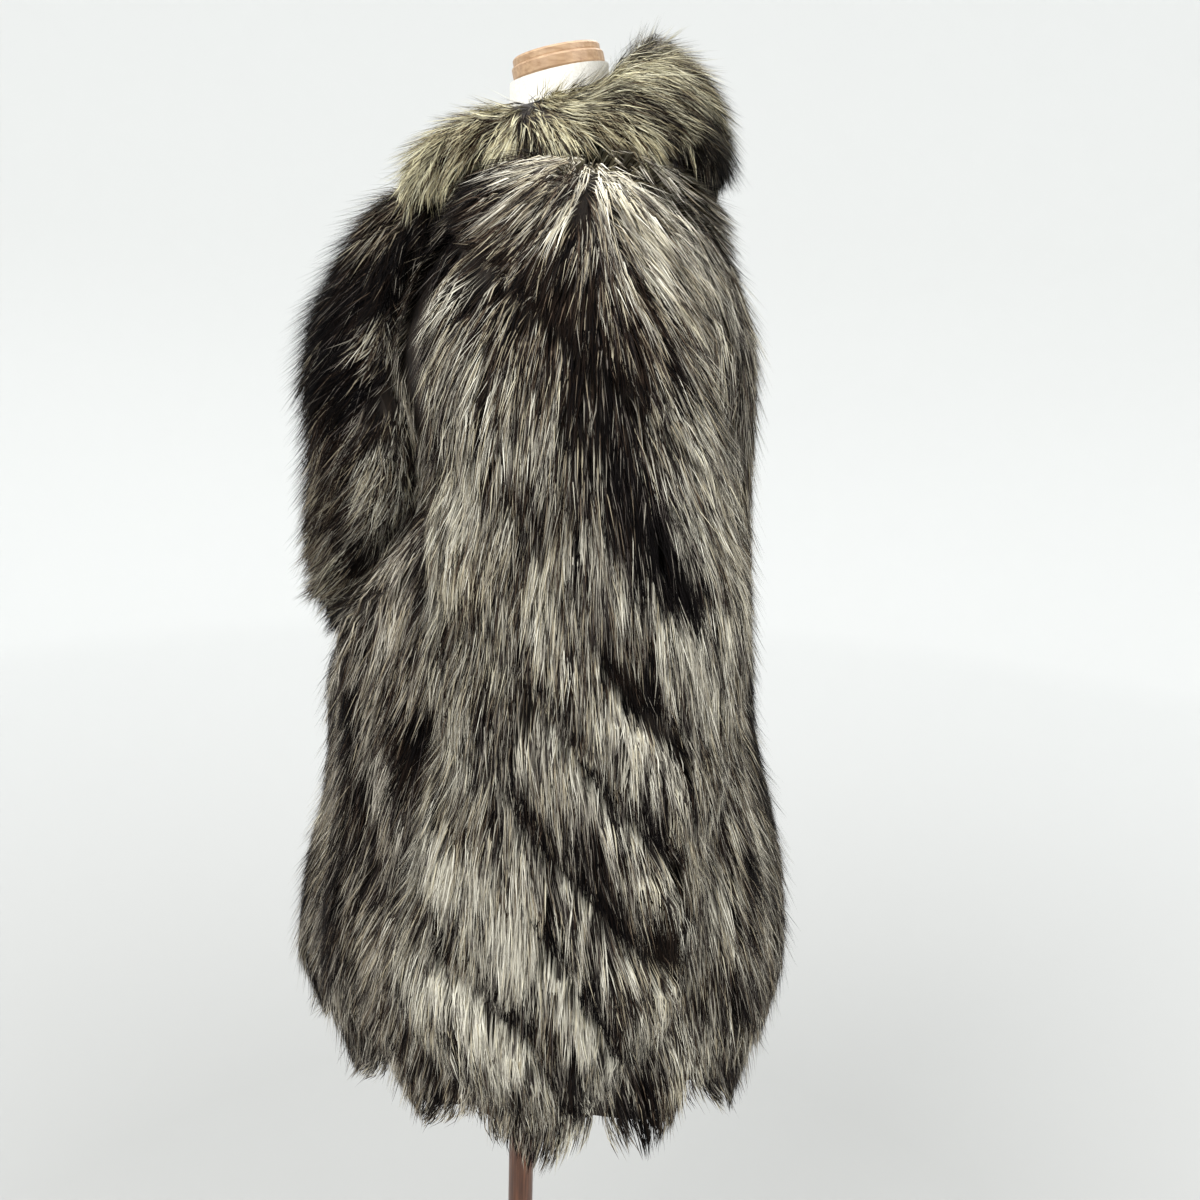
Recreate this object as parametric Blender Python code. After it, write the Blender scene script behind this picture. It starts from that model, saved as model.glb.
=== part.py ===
"""Short fox fur coat on a limbless dress form, each sewn piece a hollow wall of its own.

Metres, +Z up. The front faces -Y and the wearer's left is +X. The origin is the
middle of the base's underside, on the floor. A wall's inner face is the skin side,
its outer face is where the fur ends.
"""

import math
from collections import namedtuple

import bmesh
import bpy
import numpy as np

# ---------------------------------------------------------------- sizes
SEAM = 0.0003            # between pieces sewn to each other
LAPEL_OFF_FRONT = 0.0004
REST = 0.0012            # between the form and the skin side that lies on it
AXIS_Y = 0.020           # the body's rings are drawn round X = 0, Y = AXIS_Y

FUR = 0.034              # depth of the fur where nothing presses it
FUR_PRESSED = 0.007      # on the body's side, under the sleeve
FUR_SLEEVE_NEAR = 0.006  # on the sleeve, against the body
FUR_SHOULDER = 0.026
FUR_UNDER_LAPEL = 0.013

BODY_TOP = 1.394         # the neck seam
HEM = 0.645
BREAK_Z = 1.030          # the lapels start to turn back here
ARMHOLE_X = 0.168        # plane of the armhole
ARMPIT_Z = 1.158

FRONT_COLUMNS, LAPEL_COLUMNS = 14, 7
PELTS = 14               # upright pelts round the body
HEM_NARROWED = 0.085     # how much closer the hem hangs between its front and its sides
HEM_SCALLOP = 0.020      # how far the pelts' ends hang below the gaps between them
SLEEVE_PELT_SLOPE = 1.20 # fall of a sleeve's slanting pelts, per metre towards the back

BASE_RADIUS = 0.170
BASE_HEIGHT = 0.024
POLE_RADIUS = 0.0125
FORM_BOTTOM = 0.735
NECK_TOP = 1.461
NECK_Y = 0.0145
NECK_TILT = math.radians(13.0)
CAP_RADIUS = 0.037

# Rings of the form and of the hanging skin side, from the hem up: half width, reach
# to the front and to the back of X = 0, and how square the ring is (2 is an ellipse).
Ring = namedtuple("Ring", "z half_width front back square")
FORM_RINGS = (
    Ring(0.735, 0.128, -0.070, 0.090, 2.2),
    Ring(0.742, 0.146, -0.084, 0.106, 2.2),
    Ring(0.770, 0.160, -0.096, 0.120, 2.3),
    Ring(0.830, 0.167, -0.105, 0.129, 2.3),
    Ring(0.890, 0.160, -0.101, 0.121, 2.2),
    Ring(0.950, 0.143, -0.092, 0.103, 2.2),
    Ring(1.000, 0.127, -0.085, 0.088, 2.2),
    Ring(1.040, 0.121, -0.084, 0.083, 2.2),
    Ring(1.090, 0.128, -0.096, 0.086, 2.2),
    Ring(1.140, 0.138, -0.113, 0.092, 2.2),
    Ring(1.190, 0.145, -0.120, 0.098, 2.2),
    Ring(1.230, 0.150, -0.114, 0.103, 2.2),
    Ring(1.270, 0.158, -0.100, 0.107, 2.2),
    Ring(1.305, 0.172, -0.083, 0.108, 2.2),
    Ring(1.330, 0.182, -0.068, 0.103, 2.1),
    Ring(1.345, 0.178, -0.057, 0.097, 2.1),
    Ring(1.358, 0.158, -0.046, 0.090, 2.1),
    Ring(1.372, 0.124, -0.035, 0.082, 2.1),
    Ring(1.386, 0.090, -0.026, 0.074, 2.1),
    Ring(1.400, 0.066, -0.022, 0.067, 2.0),
    Ring(1.416, 0.052, -0.024, 0.061, 2.0),
    Ring(1.432, 0.045, -0.025, 0.056, 2.0),
    Ring(1.449, 0.041, -0.025, 0.054, 2.0),
    Ring(NECK_TOP, 0.039, -0.025, 0.053, 2.0),
)
HANG_RINGS = (
    Ring(0.645, 0.208, -0.184, 0.222, 1.95),
    Ring(0.700, 0.203, -0.183, 0.217, 2.0),
    Ring(0.780, 0.193, -0.169, 0.209, 2.15),
    Ring(0.860, 0.183, -0.149, 0.186, 2.25),
    Ring(0.940, 0.174, -0.143, 0.168, 2.3),
    Ring(1.020, 0.167, -0.142, 0.161, 2.3),
    Ring(1.100, 0.161, -0.143, 0.155, 2.3),
    Ring(1.158, 0.158, -0.141, 0.153, 2.3),
    Ring(1.200, 0.172, -0.134, 0.152, 2.4),
    Ring(1.240, 0.188, -0.123, 0.149, 2.5),
    Ring(1.280, 0.196, -0.105, 0.143, 2.5),
    Ring(1.310, 0.195, -0.086, 0.132, 2.4),
    Ring(1.335, 0.180, -0.064, 0.114, 2.2),
    Ring(1.355, 0.145, -0.040, 0.093, 2.1),
    Ring(1.400, 0.040, -0.010, 0.050, 2.0),
)

# A sleeve's skin side below the armpit: reach to the front, to the back and away
# from X = 0. Its near side follows the body. The fan above turns about the armpit.
Cuff = namedtuple("Cuff", "z front back far")
SLEEVE_RINGS = (
    Cuff(1.158, -0.026, 0.124, 0.250),
    Cuff(1.115, -0.031, 0.132, 0.254),
    Cuff(1.060, -0.029, 0.134, 0.257),
    Cuff(0.990, -0.022, 0.131, 0.259),
    Cuff(0.940, -0.030, 0.119, 0.262),
    Cuff(0.880, -0.044, 0.113, 0.267),
    Cuff(0.820, -0.052, 0.108, 0.271),
    Cuff(0.765, -0.049, 0.090, 0.271),
    Cuff(0.728, -0.036, 0.078, 0.268),
)
SLEEVE_TOP_REACH = 0.207     # armpit to the top of the sleeve, skin side
SLEEVE_TOP_FRONT, SLEEVE_TOP_BACK = -0.044, 0.092
SLEEVE_OFF_BODY = 0.0016     # between the sleeve's near side and the body's fur
CUFF_Z, CUFF_LOW_Y, CUFF_RISE = 0.716, 0.041, 0.034
SLEEVE_FURROWS = (1.245, 1.105, 1.010, 0.913, 0.780)   # height of each furrow at Y = 0.04

# The turned-back edge, from the break up: where it rolls over, and how far the
# lapel reaches to the side and how deep its fur is.
Lapel = namedtuple("Lapel", "z roll edge fur")
LAPEL_ROWS = (
    Lapel(1.012, 0.004, 0.050, 0.024),
    Lapel(1.034, 0.006, 0.070, 0.033),
    Lapel(1.060, 0.011, 0.092, 0.040),
    Lapel(1.090, 0.018, 0.112, 0.044),
    Lapel(1.140, 0.026, 0.134, 0.046),
    Lapel(1.200, 0.035, 0.145, 0.046),
    Lapel(1.260, 0.044, 0.147, 0.046),
    Lapel(1.310, 0.052, 0.141, 0.043),
    Lapel(1.345, 0.058, 0.128, 0.027),
)

# The collar from the middle of the back (180 degrees) round to the front: where it is
# sewn to the neck, the top of its roll and the edge of its fall, on the skin side.
Collar = namedtuple("Collar", "angle roll edge fur")
COLLAR_STATIONS = (
    Collar(180, (0.000, 0.092, 1.456), (0.000, 0.127, 1.392), 0.030),
    Collar(157, (0.037, 0.087, 1.455), (0.062, 0.123, 1.393), 0.030),
    Collar(130, (0.066, 0.070, 1.446), (0.111, 0.099, 1.403), 0.029),
    Collar(106, (0.083, 0.040, 1.431), (0.136, 0.056, 1.406), 0.027),
    Collar(84, (0.087, 0.010, 1.420), (0.141, 0.011, 1.403), 0.027),
    Collar(67, (0.079, -0.018, 1.413), (0.150, -0.037, 1.387), 0.030),
    Collar(53, (0.067, -0.042, 1.407), (0.146, -0.078, 1.362), 0.032),
)

Finish = namedtuple("Finish", "rgb roughness")
FINISHES = {
    "back": Finish((0.240, 0.215, 0.190), 0.75),
    "front": Finish((0.190, 0.165, 0.145), 0.75),
    "lapel": Finish((0.050, 0.038, 0.034), 0.75),
    "collar": Finish((0.330, 0.310, 0.250), 0.75),
    "sleeve": Finish((0.270, 0.245, 0.215), 0.75),
    "form": Finish((0.800, 0.770, 0.700), 0.90),
    "cap": Finish((0.620, 0.420, 0.260), 0.45),
    "pole": Finish((0.130, 0.060, 0.032), 0.35),
    "base": Finish((0.120, 0.055, 0.030), 0.40),
}

TURN = 2.0 * math.pi
LEFT, RIGHT = 1, -1


# ---------------------------------------------------------------- numbers
def smooth(low, high, value):
    """0 below low, 1 above high, and an S between."""
    t = min(1.0, max(0.0, (value - low) / (high - low)))
    return t * t * (3.0 - 2.0 * t)


def mix(a, b, t):
    return a + (b - a) * t


def read_table(rows, z, column):
    """One column of a table at height z, as a smooth curve with no overshoot."""
    heights = [row.z for row in rows]
    values = [getattr(row, column) for row in rows]
    if heights[0] > heights[-1]:
        heights, values = heights[::-1], values[::-1]
    if z <= heights[0]:
        return values[0]
    if z >= heights[-1]:
        return values[-1]
    steps = [(values[i + 1] - values[i]) / (heights[i + 1] - heights[i]) for i in range(len(values) - 1)]
    slopes = [steps[0]]
    for before, after in zip(steps, steps[1:]):
        slopes.append(0.0 if before * after <= 0 else 2.0 * before * after / (before + after))
    slopes.append(steps[-1])
    i = max(k for k in range(len(steps)) if heights[k] <= z)
    h = heights[i + 1] - heights[i]
    t = (z - heights[i]) / h
    return (
        values[i] * (1 + 2 * t) * (1 - t) ** 2
        + slopes[i] * h * t * (1 - t) ** 2
        + values[i + 1] * t * t * (3 - 2 * t)
        - slopes[i + 1] * h * t * t * (1 - t)
    )


def ring_radius(rows, theta, z):
    """Distance from the body's axis to a table's ring; theta 0 is the front, +90 degrees the left."""
    half = read_table(rows, z, "half_width")
    front = AXIS_Y - read_table(rows, z, "front")
    back = read_table(rows, z, "back") - AXIS_Y
    square = read_table(rows, z, "square")
    reach = front if math.cos(theta) > 0 else back
    side, deep = abs(math.sin(theta)) / half, abs(math.cos(theta)) / reach
    return (side ** square + deep ** square) ** (-1.0 / square)


def round_body(radius, theta, z):
    return np.array((radius * math.sin(theta), AXIS_Y - radius * math.cos(theta), z))


# ---------------------------------------------------------------- the coat's body
def skin_radius(theta, z):
    """The skin side hangs on its own rings and lies on the form where the form is wider."""
    hang = ring_radius(HANG_RINGS, theta, z)
    if math.cos(theta) > 0:
        hang *= 1.0 - HEM_NARROWED * (1.0 - smooth(0.66, 0.86, z)) * math.sin(2.0 * theta) ** 2
    form = ring_radius(FORM_RINGS, theta, z) + REST * mix(1.0, 2.6, smooth(1.33, 1.36, z))
    blend = 0.004
    return 0.5 * (hang + form + math.sqrt((hang - form) ** 2 + blend * blend)) if abs(hang - form) < 0.05 else max(hang, form)


def pelt_wave(theta):
    """1 along the middle of an upright pelt and 0 between two."""
    return 0.5 + 0.5 * math.cos(PELTS * (theta - math.pi / PELTS))


def skin_point(theta, z):
    """A point of the skin side; the hem follows the pelts' round ends."""
    low = 1.0 - smooth(HEM, HEM + 0.10, z)
    fold = 0.0035 * (1.0 - smooth(0.66, 1.10, z)) * math.cos(PELTS / 2 * theta + 0.8)
    return round_body(skin_radius(theta, z) + fold, theta, z + low * HEM_SCALLOP * (0.5 - pelt_wave(theta)))


def skin_normal(theta, z):
    step = 0.012
    along = skin_point(theta + 0.03, z) - skin_point(theta - 0.03, z)
    up = skin_point(theta, min(z + step, BODY_TOP + 0.004)) - skin_point(theta, z - step)
    normal = np.cross(along, up)
    return normal / np.linalg.norm(normal)


def fur_depth(theta, z):
    """Depth of the body's fur: pressed under the sleeves and lapels, thin at both ends."""
    point = skin_point(theta, z)
    x, y = abs(point[0]), point[1]
    clear = smooth(0.070, 0.112, abs(y - 0.045))
    clear = max(clear, 1.0 - smooth(0.660, 0.695, z), smooth(1.165, 1.235, z))
    depth = mix(FUR_PRESSED, FUR, clear)
    depth = mix(depth, FUR_SHOULDER, smooth(1.20, 1.33, z))
    depth *= 1.0 - 0.20 * (1.0 - pelt_wave(theta)) * clear * (1.0 - smooth(1.05, 1.25, z))
    if y < AXIS_Y and z > 1.0:
        edge = read_table(LAPEL_ROWS, z, "edge")
        under = smooth(0.976, 1.012, z) * (1.0 - smooth(edge + 0.002, edge + 0.026, x))
        depth = mix(depth, FUR_UNDER_LAPEL, under)
    depth = mix(depth, FUR_UNDER_LAPEL, smooth(1.355, 1.385, z))
    return depth * mix(0.42, 1.0, smooth(HEM - 0.002, HEM + 0.055, z))


def fur_point(theta, z):
    """The body's outer face, straight out from the skin side."""
    return skin_point(theta, z) + skin_normal(theta, z) * fur_depth(theta, z)


def lapel_heights():
    """Rows shared by the fronts and the lapels that lie on them."""
    return [1.012, 1.034, 1.060, 1.090, 1.120, 1.148, 1.186, 1.224, 1.262, 1.298, 1.322, 1.338, 1.350]


def body_heights():
    """Rows of the body, closer at the hem and over the shoulders."""
    rows = list(np.linspace(HEM, HEM + 0.075, 4)) + list(np.linspace(HEM + 0.115, 0.976, 7))
    return rows + lapel_heights() + [1.361, 1.372, 1.383, BODY_TOP]


def angle_at(x, z):
    """Angle, on the left front, at which the skin side reaches x."""
    low, high = 0.0, math.pi / 2
    for _ in range(40):
        middle = 0.5 * (low + high)
        if skin_point(middle, z)[0] < x:
            low = middle
        else:
            high = middle
    return low


def front_angles(z):
    """Angles of a left front's columns: the first LAPEL_COLUMNS steps lie under the lapel."""
    turned = smooth(BREAK_Z, BREAK_Z + 0.05, z)
    start = angle_at(max(SEAM / 2, read_table(LAPEL_ROWS, z, "roll") * turned), z)
    edge = angle_at(read_table(LAPEL_ROWS, z, "edge"), z)
    even = mix(start, math.pi / 2, LAPEL_COLUMNS / FRONT_COLUMNS)
    edge = mix(even, edge, smooth(0.94, 1.012, z) * (1.0 - smooth(1.35, 1.372, z)))
    under = [mix(start, edge, j / LAPEL_COLUMNS) for j in range(LAPEL_COLUMNS)]
    rest = FRONT_COLUMNS - LAPEL_COLUMNS
    return under + [mix(edge, math.pi / 2, j / rest) for j in range(rest + 1)]


def panel_grids(angles_of_row, seam_side):
    """Skin and fur grids of a body panel. Its seams lie in the plane Y = AXIS_Y."""
    skin, fur = [], []
    for z in body_heights():
        angles = angles_of_row(z)
        inner = [skin_point(a, z) for a in angles]
        outer = [fur_point(a, z) for a in angles]
        for column in seam_side["columns"]:
            inner[column][1] = outer[column][1] = AXIS_Y + seam_side["shift"]
        for column in seam_side.get("middle", ()):
            if z <= BREAK_Z:
                inner[column][0] = outer[column][0] = seam_side["sign"] * SEAM / 2
        skin.append(inner)
        fur.append(outer)
    return skin, fur


# ---------------------------------------------------------------- meshes
def finish_object(name, bm, finish):
    bmesh.ops.recalc_face_normals(bm, faces=bm.faces)
    mesh = bpy.data.meshes.new(name)
    bm.to_mesh(mesh)
    bm.free()
    thing = bpy.data.objects.new(name, mesh)
    bpy.context.scene.collection.objects.link(thing)
    mesh.shade_smooth()
    mesh.set_sharp_from_angle(angle=math.radians(50))
    material = bpy.data.materials.new(name)
    material.use_nodes = True
    shader = material.node_tree.nodes["Principled BSDF"]
    shader.inputs["Base Color"].default_value = (*FINISHES[finish].rgb, 1.0)
    shader.inputs["Roughness"].default_value = FINISHES[finish].roughness
    shader.inputs["Metallic"].default_value = 0.0
    mesh.materials.append(material)
    return thing


def wall(inner, outer, round_it):
    """A closed wall between two grids of points; round_it joins the last column to the first.

    Both faces are split along the same diagonals, so that walls made from each other's
    points stay parallel.
    """
    bm = bmesh.new()
    rows, columns = len(inner), len(inner[0])
    a = [[bm.verts.new(p) for p in row] for row in inner]
    b = [[bm.verts.new(p) for p in row] for row in outer]
    steps = columns if round_it else columns - 1
    for i in range(rows - 1):
        for j in range(steps):
            k = (j + 1) % columns
            bm.faces.new((a[i][j], a[i + 1][j], a[i + 1][k]))
            bm.faces.new((a[i][j], a[i + 1][k], a[i][k]))
            bm.faces.new((b[i][j], b[i + 1][k], b[i + 1][j]))
            bm.faces.new((b[i][j], b[i][k], b[i + 1][k]))
        if not round_it:
            bm.faces.new((a[i][0], b[i][0], b[i + 1][0], a[i + 1][0]))
            bm.faces.new((a[i][-1], a[i + 1][-1], b[i + 1][-1], b[i][-1]))
    for j in range(steps):
        k = (j + 1) % columns
        bm.faces.new((a[0][j], a[0][k], b[0][k], b[0][j]))
        bm.faces.new((a[-1][j], b[-1][j], b[-1][k], a[-1][k]))
    return bm


def cut_armhole(bm, side):
    """Takes off what lies beyond the armhole's plane, and closes the wall there."""
    bmesh.ops.triangulate(bm, faces=bm.faces)
    faces = [f for f in bm.faces if min(v.co.z for v in f.verts) > ARMPIT_Z - 0.012]
    parts = faces + list({e for f in faces for e in f.edges}) + list({v for f in faces for v in f.verts})
    cut = bmesh.ops.bisect_plane(
        bm, geom=parts, dist=0.00001, plane_co=(side * ARMHOLE_X, 0, 0), plane_no=(side, 0, 0), clear_outer=True
    )
    edges = [e for e in cut["geom_cut"] if isinstance(e, bmesh.types.BMEdge) and e.is_valid and e.is_boundary]
    bmesh.ops.triangle_fill(bm, use_beauty=True, edges=edges)


def make_back():
    columns = 28
    edge = {"columns": (0, -1), "shift": SEAM / 2}
    angles = [math.pi / 2 + math.pi * j / columns for j in range(columns + 1)]
    skin, fur = panel_grids(lambda z: angles, edge)
    bm = wall(skin, fur, False)
    for side in (LEFT, RIGHT):
        cut_armhole(bm, side)
    return finish_object("coat_back", bm, "back")


def make_front(name, side):
    edge = {"columns": (-1,), "shift": -SEAM / 2, "middle": (0,), "sign": side}
    skin, fur = panel_grids(lambda z: [side * a for a in front_angles(z)], edge)
    bm = wall(skin, fur, False)
    cut_armhole(bm, side)
    return finish_object(name, bm, "front")


# ---------------------------------------------------------------- sleeves
def power(value, exponent):
    return math.copysign(abs(value) ** exponent, value)


def sleeve_furrow(y, z):
    """1 on a slanting pelt's crest and 0 in the furrow between two."""
    height = z + SLEEVE_PELT_SLOPE * (y - 0.04)
    return min(1.0, min(abs(height - f) for f in SLEEVE_FURROWS) / 0.030)


def near_side(z, side):
    """Where the sleeve's near skin side runs, clear of the body's fur."""
    reach = max(abs(fur_point(side * math.radians(a), h)[0]) for a in (70, 80, 90, 100, 110) for h in (z - 0.015, z, z + 0.02))
    return reach + SLEEVE_OFF_BODY + FUR_SLEEVE_NEAR


def sleeve_rows(side):
    """Each ring as (near, far, front, back, turn, z, how near the cuff)."""
    rows = []
    pivot = ARMHOLE_X + SEAM
    first = SLEEVE_RINGS[0]
    first_near = near_side(ARMPIT_Z - 0.022, side) - pivot
    for turn in np.radians((0, 13, 27, 41, 56, 72, 90)):
        t = turn / (math.pi / 2)
        near = mix(0.0100, first_near, smooth(0, 1, t))
        reach_side, reach_up = first.far - pivot, SLEEVE_TOP_REACH
        far = ((math.sin(turn) / reach_side) ** 2.3 + (math.cos(turn) / reach_up) ** 2.3) ** (-1 / 2.3)
        front = mix(SLEEVE_TOP_FRONT, first.front, smooth(0, 1, t) * 0.4 + 0.6 * t)
        back = mix(SLEEVE_TOP_BACK, first.back, smooth(0, 1, t) * 0.4 + 0.6 * t)
        rows.append((near, far, front, back, turn, ARMPIT_Z, 0.0))
    for z in list(np.linspace(ARMPIT_Z - 0.026, 0.768, 16)) + [0.748, 0.731, CUFF_Z]:
        far, front, back = (read_table(SLEEVE_RINGS, z, c) for c in ("far", "front", "back"))
        rows.append((near_side(z, side) - pivot, far - pivot, front, back, math.pi / 2, z, 1.0 - smooth(CUFF_Z, CUFF_Z + 0.12, z)))
    return rows


def make_sleeve(name, side):
    columns = 24
    square = 2.0 / 2.3
    pivot = ARMHOLE_X + SEAM
    skin, fur = [], []
    for near, far, front, back, turn, z, end in sleeve_rows(side):
        middle_q, half_q = (near + far) / 2, (far - near) / 2
        middle_y, half_y = (front + back) / 2, (back - front) / 2
        inner, outer = [], []
        for j in range(columns):
            angle = TURN * j / columns
            c, s = math.cos(angle), math.sin(angle)
            q, y = middle_q + half_q * power(c, square), middle_y + half_y * power(s, square)
            nq, ny = power(c, 2 - square) / half_q, power(s, 2 - square) / half_y
            length = math.hypot(nq, ny)
            nq, ny = nq / length, ny / length
            outside = smooth(-0.97, -0.45, nq)
            depth = mix(FUR_SLEEVE_NEAR, FUR - 0.001, outside)
            depth = mix(depth, depth * 0.86, (1.0 - smooth(0.0, 0.9, turn)) * outside)
            height = z if turn > 1.57 else z + q * math.cos(turn)
            depth *= 1.0 - 0.26 * (1.0 - sleeve_furrow(y, height)) * outside * smooth(0.25, 0.7, turn)
            depth *= mix(1.0, mix(1.0, 0.45, outside), smooth(0.75, 1.0, end))
            for store, extra in ((inner, 0.0), (outer, depth)):
                qq, yy = q + nq * extra, y + ny * extra
                rise = end * CUFF_RISE * min(1.0, ((yy - CUFF_LOW_Y) / 0.100) ** 2)
                x = pivot + qq * math.sin(turn)
                store.append((side * x, yy, z + qq * math.cos(turn) * (turn < 1.57) + rise))
        skin.append(inner)
        fur.append(outer)
    return finish_object(name, wall(skin, fur, True), "sleeve")


# ---------------------------------------------------------------- lapels and collar
def make_lapel(name, side):
    """Lies on the front from the roll line out, made from the front's own points moved out."""
    under, fur = [], []
    for z in lapel_heights():
        depth = read_table(LAPEL_ROWS, z, "fur")
        low_row, high_row = [], []
        for j, theta in enumerate(front_angles(z)[:LAPEL_COLUMNS + 1]):
            t = j / LAPEL_COLUMNS
            theta *= side
            base, normal = fur_point(theta, z), skin_normal(theta, z)
            crown = mix(0.84, 1.0, smooth(0.0, 0.28, t)) * mix(1.0, 0.46, smooth(0.68, 1.0, t))
            crown *= 1.0 - 0.14 * (0.5 + 0.5 * math.cos(TURN * (z - 1.09) / 0.105 + 3.0 * t))
            low_row.append(base + normal * LAPEL_OFF_FRONT)
            high_row.append(base + normal * (LAPEL_OFF_FRONT + depth * crown))
        under.append(low_row)
        fur.append(high_row)
    return finish_object(name, wall(under, fur, False), "lapel")


def make_collar():
    """A stand round the neck that rolls over into a fall, as one strip of even stations."""
    half = list(COLLAR_STATIONS)
    other = [Collar(360 - c.angle, (-c.roll[0], *c.roll[1:]), (-c.edge[0], *c.edge[1:]), c.fur) for c in half[:0:-1]]
    values = np.array([[c.angle, *c.roll, *c.edge, c.fur] for c in other + half])
    under, fur = [], []
    for u in np.linspace(0, 1, 27):
        row = catmull(values, u)
        theta, roll, edge, depth = math.radians(row[0]), row[1:4], row[4:7], row[7]
        foot = fur_point(theta, BODY_TOP) + skin_normal(theta, BODY_TOP) * 0.0005
        depth *= mix(0.6, 1.0, smooth(0.0, 0.05, u) * (1.0 - smooth(0.95, 1.0, u)))
        to_neck = np.array((0.0, 0.018, 0.0)) - foot
        to_neck[2] = 0.0
        to_neck /= np.linalg.norm(to_neck)
        up, out = np.array((0.0, 0.0, 1.0)), -to_neck
        fall = (edge - roll) / np.linalg.norm(edge - roll)
        away = up - fall * fall[2]
        away /= np.linalg.norm(away)
        lump = 1.0 - 0.10 * (0.5 + 0.5 * math.cos(TURN * 6.5 * u))
        skin_row, fur_row = [], []
        for place, normal, thick in (
            (foot, to_neck + up * 0.10, 0.008),
            (mix(foot, roll, 0.55), to_neck + up * 0.20, 0.010),
            (roll, to_neck + up * 0.90, 0.017),
            (roll + out * 0.004, up + to_neck * 0.25, depth * 0.88),
            (mix(roll, edge, 0.30) + out * 0.003 + up * 0.001, away + up * 0.35, depth * lump),
            (mix(roll, edge, 0.62) + up * 0.001, away + out * 0.25, depth * lump),
            (mix(roll, edge, 0.86), away + out * 0.40, depth * lump * 0.86),
            (edge, away + out * 1.10 - up * 0.35, depth * 0.52),
        ):
            skin_row.append(place)
            fur_row.append(place + normal / np.linalg.norm(normal) * thick)
        under.append(skin_row)
        fur.append(fur_row)
    return finish_object("collar", wall(under, fur, False), "collar")


def catmull(values, u):
    """A smooth curve through evenly spaced rows of values."""
    last = len(values) - 1
    place = u * last
    i = min(int(place), last - 1)
    t = place - i
    p0, p1, p2, p3 = (values[min(max(k, 0), last)] for k in (i - 1, i, i + 1, i + 2))
    return 0.5 * (2 * p1 + (p2 - p0) * t + (2 * p0 - 5 * p1 + 4 * p2 - p3) * t * t + (3 * p1 - p0 - 3 * p2 + p3) * t ** 3)


# ---------------------------------------------------------------- the stand
def turned(name, profile, finish, segments=32):
    """A piece turned about the vertical, from (radius, height) points; both ends are closed."""
    bm = bmesh.new()
    rings = []
    for radius, height in profile:
        rings.append([bm.verts.new((radius * math.cos(TURN * k / segments), radius * math.sin(TURN * k / segments), height)) for k in range(segments)])
    bm.faces.new(rings[0])
    bm.faces.new(rings[-1])
    for low, high in zip(rings, rings[1:]):
        for k in range(segments):
            n = (k + 1) % segments
            bm.faces.new((low[k], low[n], high[n], high[k]))
    return finish_object(name, bm, finish)


def form_heights():
    return [0.735, 0.742, 0.758, 0.785] + list(np.linspace(0.83, 1.262, 11)) + [
        1.298, 1.322, 1.338, 1.350, 1.361, 1.372, 1.383, BODY_TOP, 1.406, 1.418, 1.432, 1.447, NECK_TOP]


def make_form():
    columns = 40
    bm = bmesh.new()
    rings = []
    for z in form_heights():
        lean = math.tan(NECK_TILT) * smooth(1.400, NECK_TOP, z)
        ring = []
        for j in range(columns):
            point = round_body(ring_radius(FORM_RINGS, TURN * j / columns, z), TURN * j / columns, z)
            point[2] += lean * (point[1] - NECK_Y)
            ring.append(bm.verts.new(point))
        rings.append(ring)
    bm.faces.new(rings[0])
    bm.faces.new(rings[-1])
    for low, high in zip(rings, rings[1:]):
        for k in range(columns):
            n = (k + 1) % columns
            bm.faces.new((low[k], low[n], high[n], high[k]))
    return finish_object("dress_form", bm, "form")


def make_stand():
    turned("stand_base", (
        (0.164, 0.0), (BASE_RADIUS, 0.006), (BASE_RADIUS, 0.014), (0.164, 0.019),
        (0.050, BASE_HEIGHT), (0.030, BASE_HEIGHT + 0.008), (0.022, BASE_HEIGHT + 0.022),
    ), "base", 40)
    turned("stand_pole", (
        (POLE_RADIUS, BASE_HEIGHT + 0.022 + SEAM), (POLE_RADIUS, 0.38), (POLE_RADIUS, FORM_BOTTOM - SEAM),
    ), "pole", 24)
    cap = turned("neck_cap", (
        (0.0355, 0.0), (CAP_RADIUS, 0.0015), (CAP_RADIUS, 0.0088), (0.0362, 0.0101), (0.0348, 0.0105),
        (0.0350, 0.0115), (0.0350, 0.0150), (0.0338, 0.0165), (0.0200, 0.0172),
    ), "cap", 36)
    cap.rotation_euler = (NECK_TILT, 0.0, 0.0)
    cap.location = (0.0, NECK_Y, NECK_TOP + SEAM * 1.2)
    bpy.context.view_layer.update()


def main():
    for thing in list(bpy.data.objects):
        bpy.data.objects.remove(thing, do_unlink=True)
    make_stand()
    make_form()
    make_back()
    make_front("coat_front_left", LEFT)
    make_front("coat_front_right", RIGHT)
    make_sleeve("sleeve_left", LEFT)
    make_sleeve("sleeve_right", RIGHT)
    make_lapel("lapel_left", LEFT)
    make_lapel("lapel_right", RIGHT)
    make_collar()


main()
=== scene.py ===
"""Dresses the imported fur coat: thin pelts, combed guard hair, the dress form and its stand.

Every fur solid of the part is replaced by a pelt, a thin wall that follows the solid's skin side,
and by locks of guard hair that are rooted on the pelt and lie over one another up to the solid's
outer face. The dress form, its turned neck cap, the pole and the base keep their shapes and are
given finishes. All sizes are in metres, with the floor at Z = 0, the coat's front towards -Y and
the wearer's left towards +X.
"""

from __future__ import annotations

import logging
import math
from dataclasses import dataclass, field
from enum import Enum
from typing import ClassVar

import bpy
import numpy as np
from mathutils import Matrix, Vector
from mathutils.bvhtree import BVHTree

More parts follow.
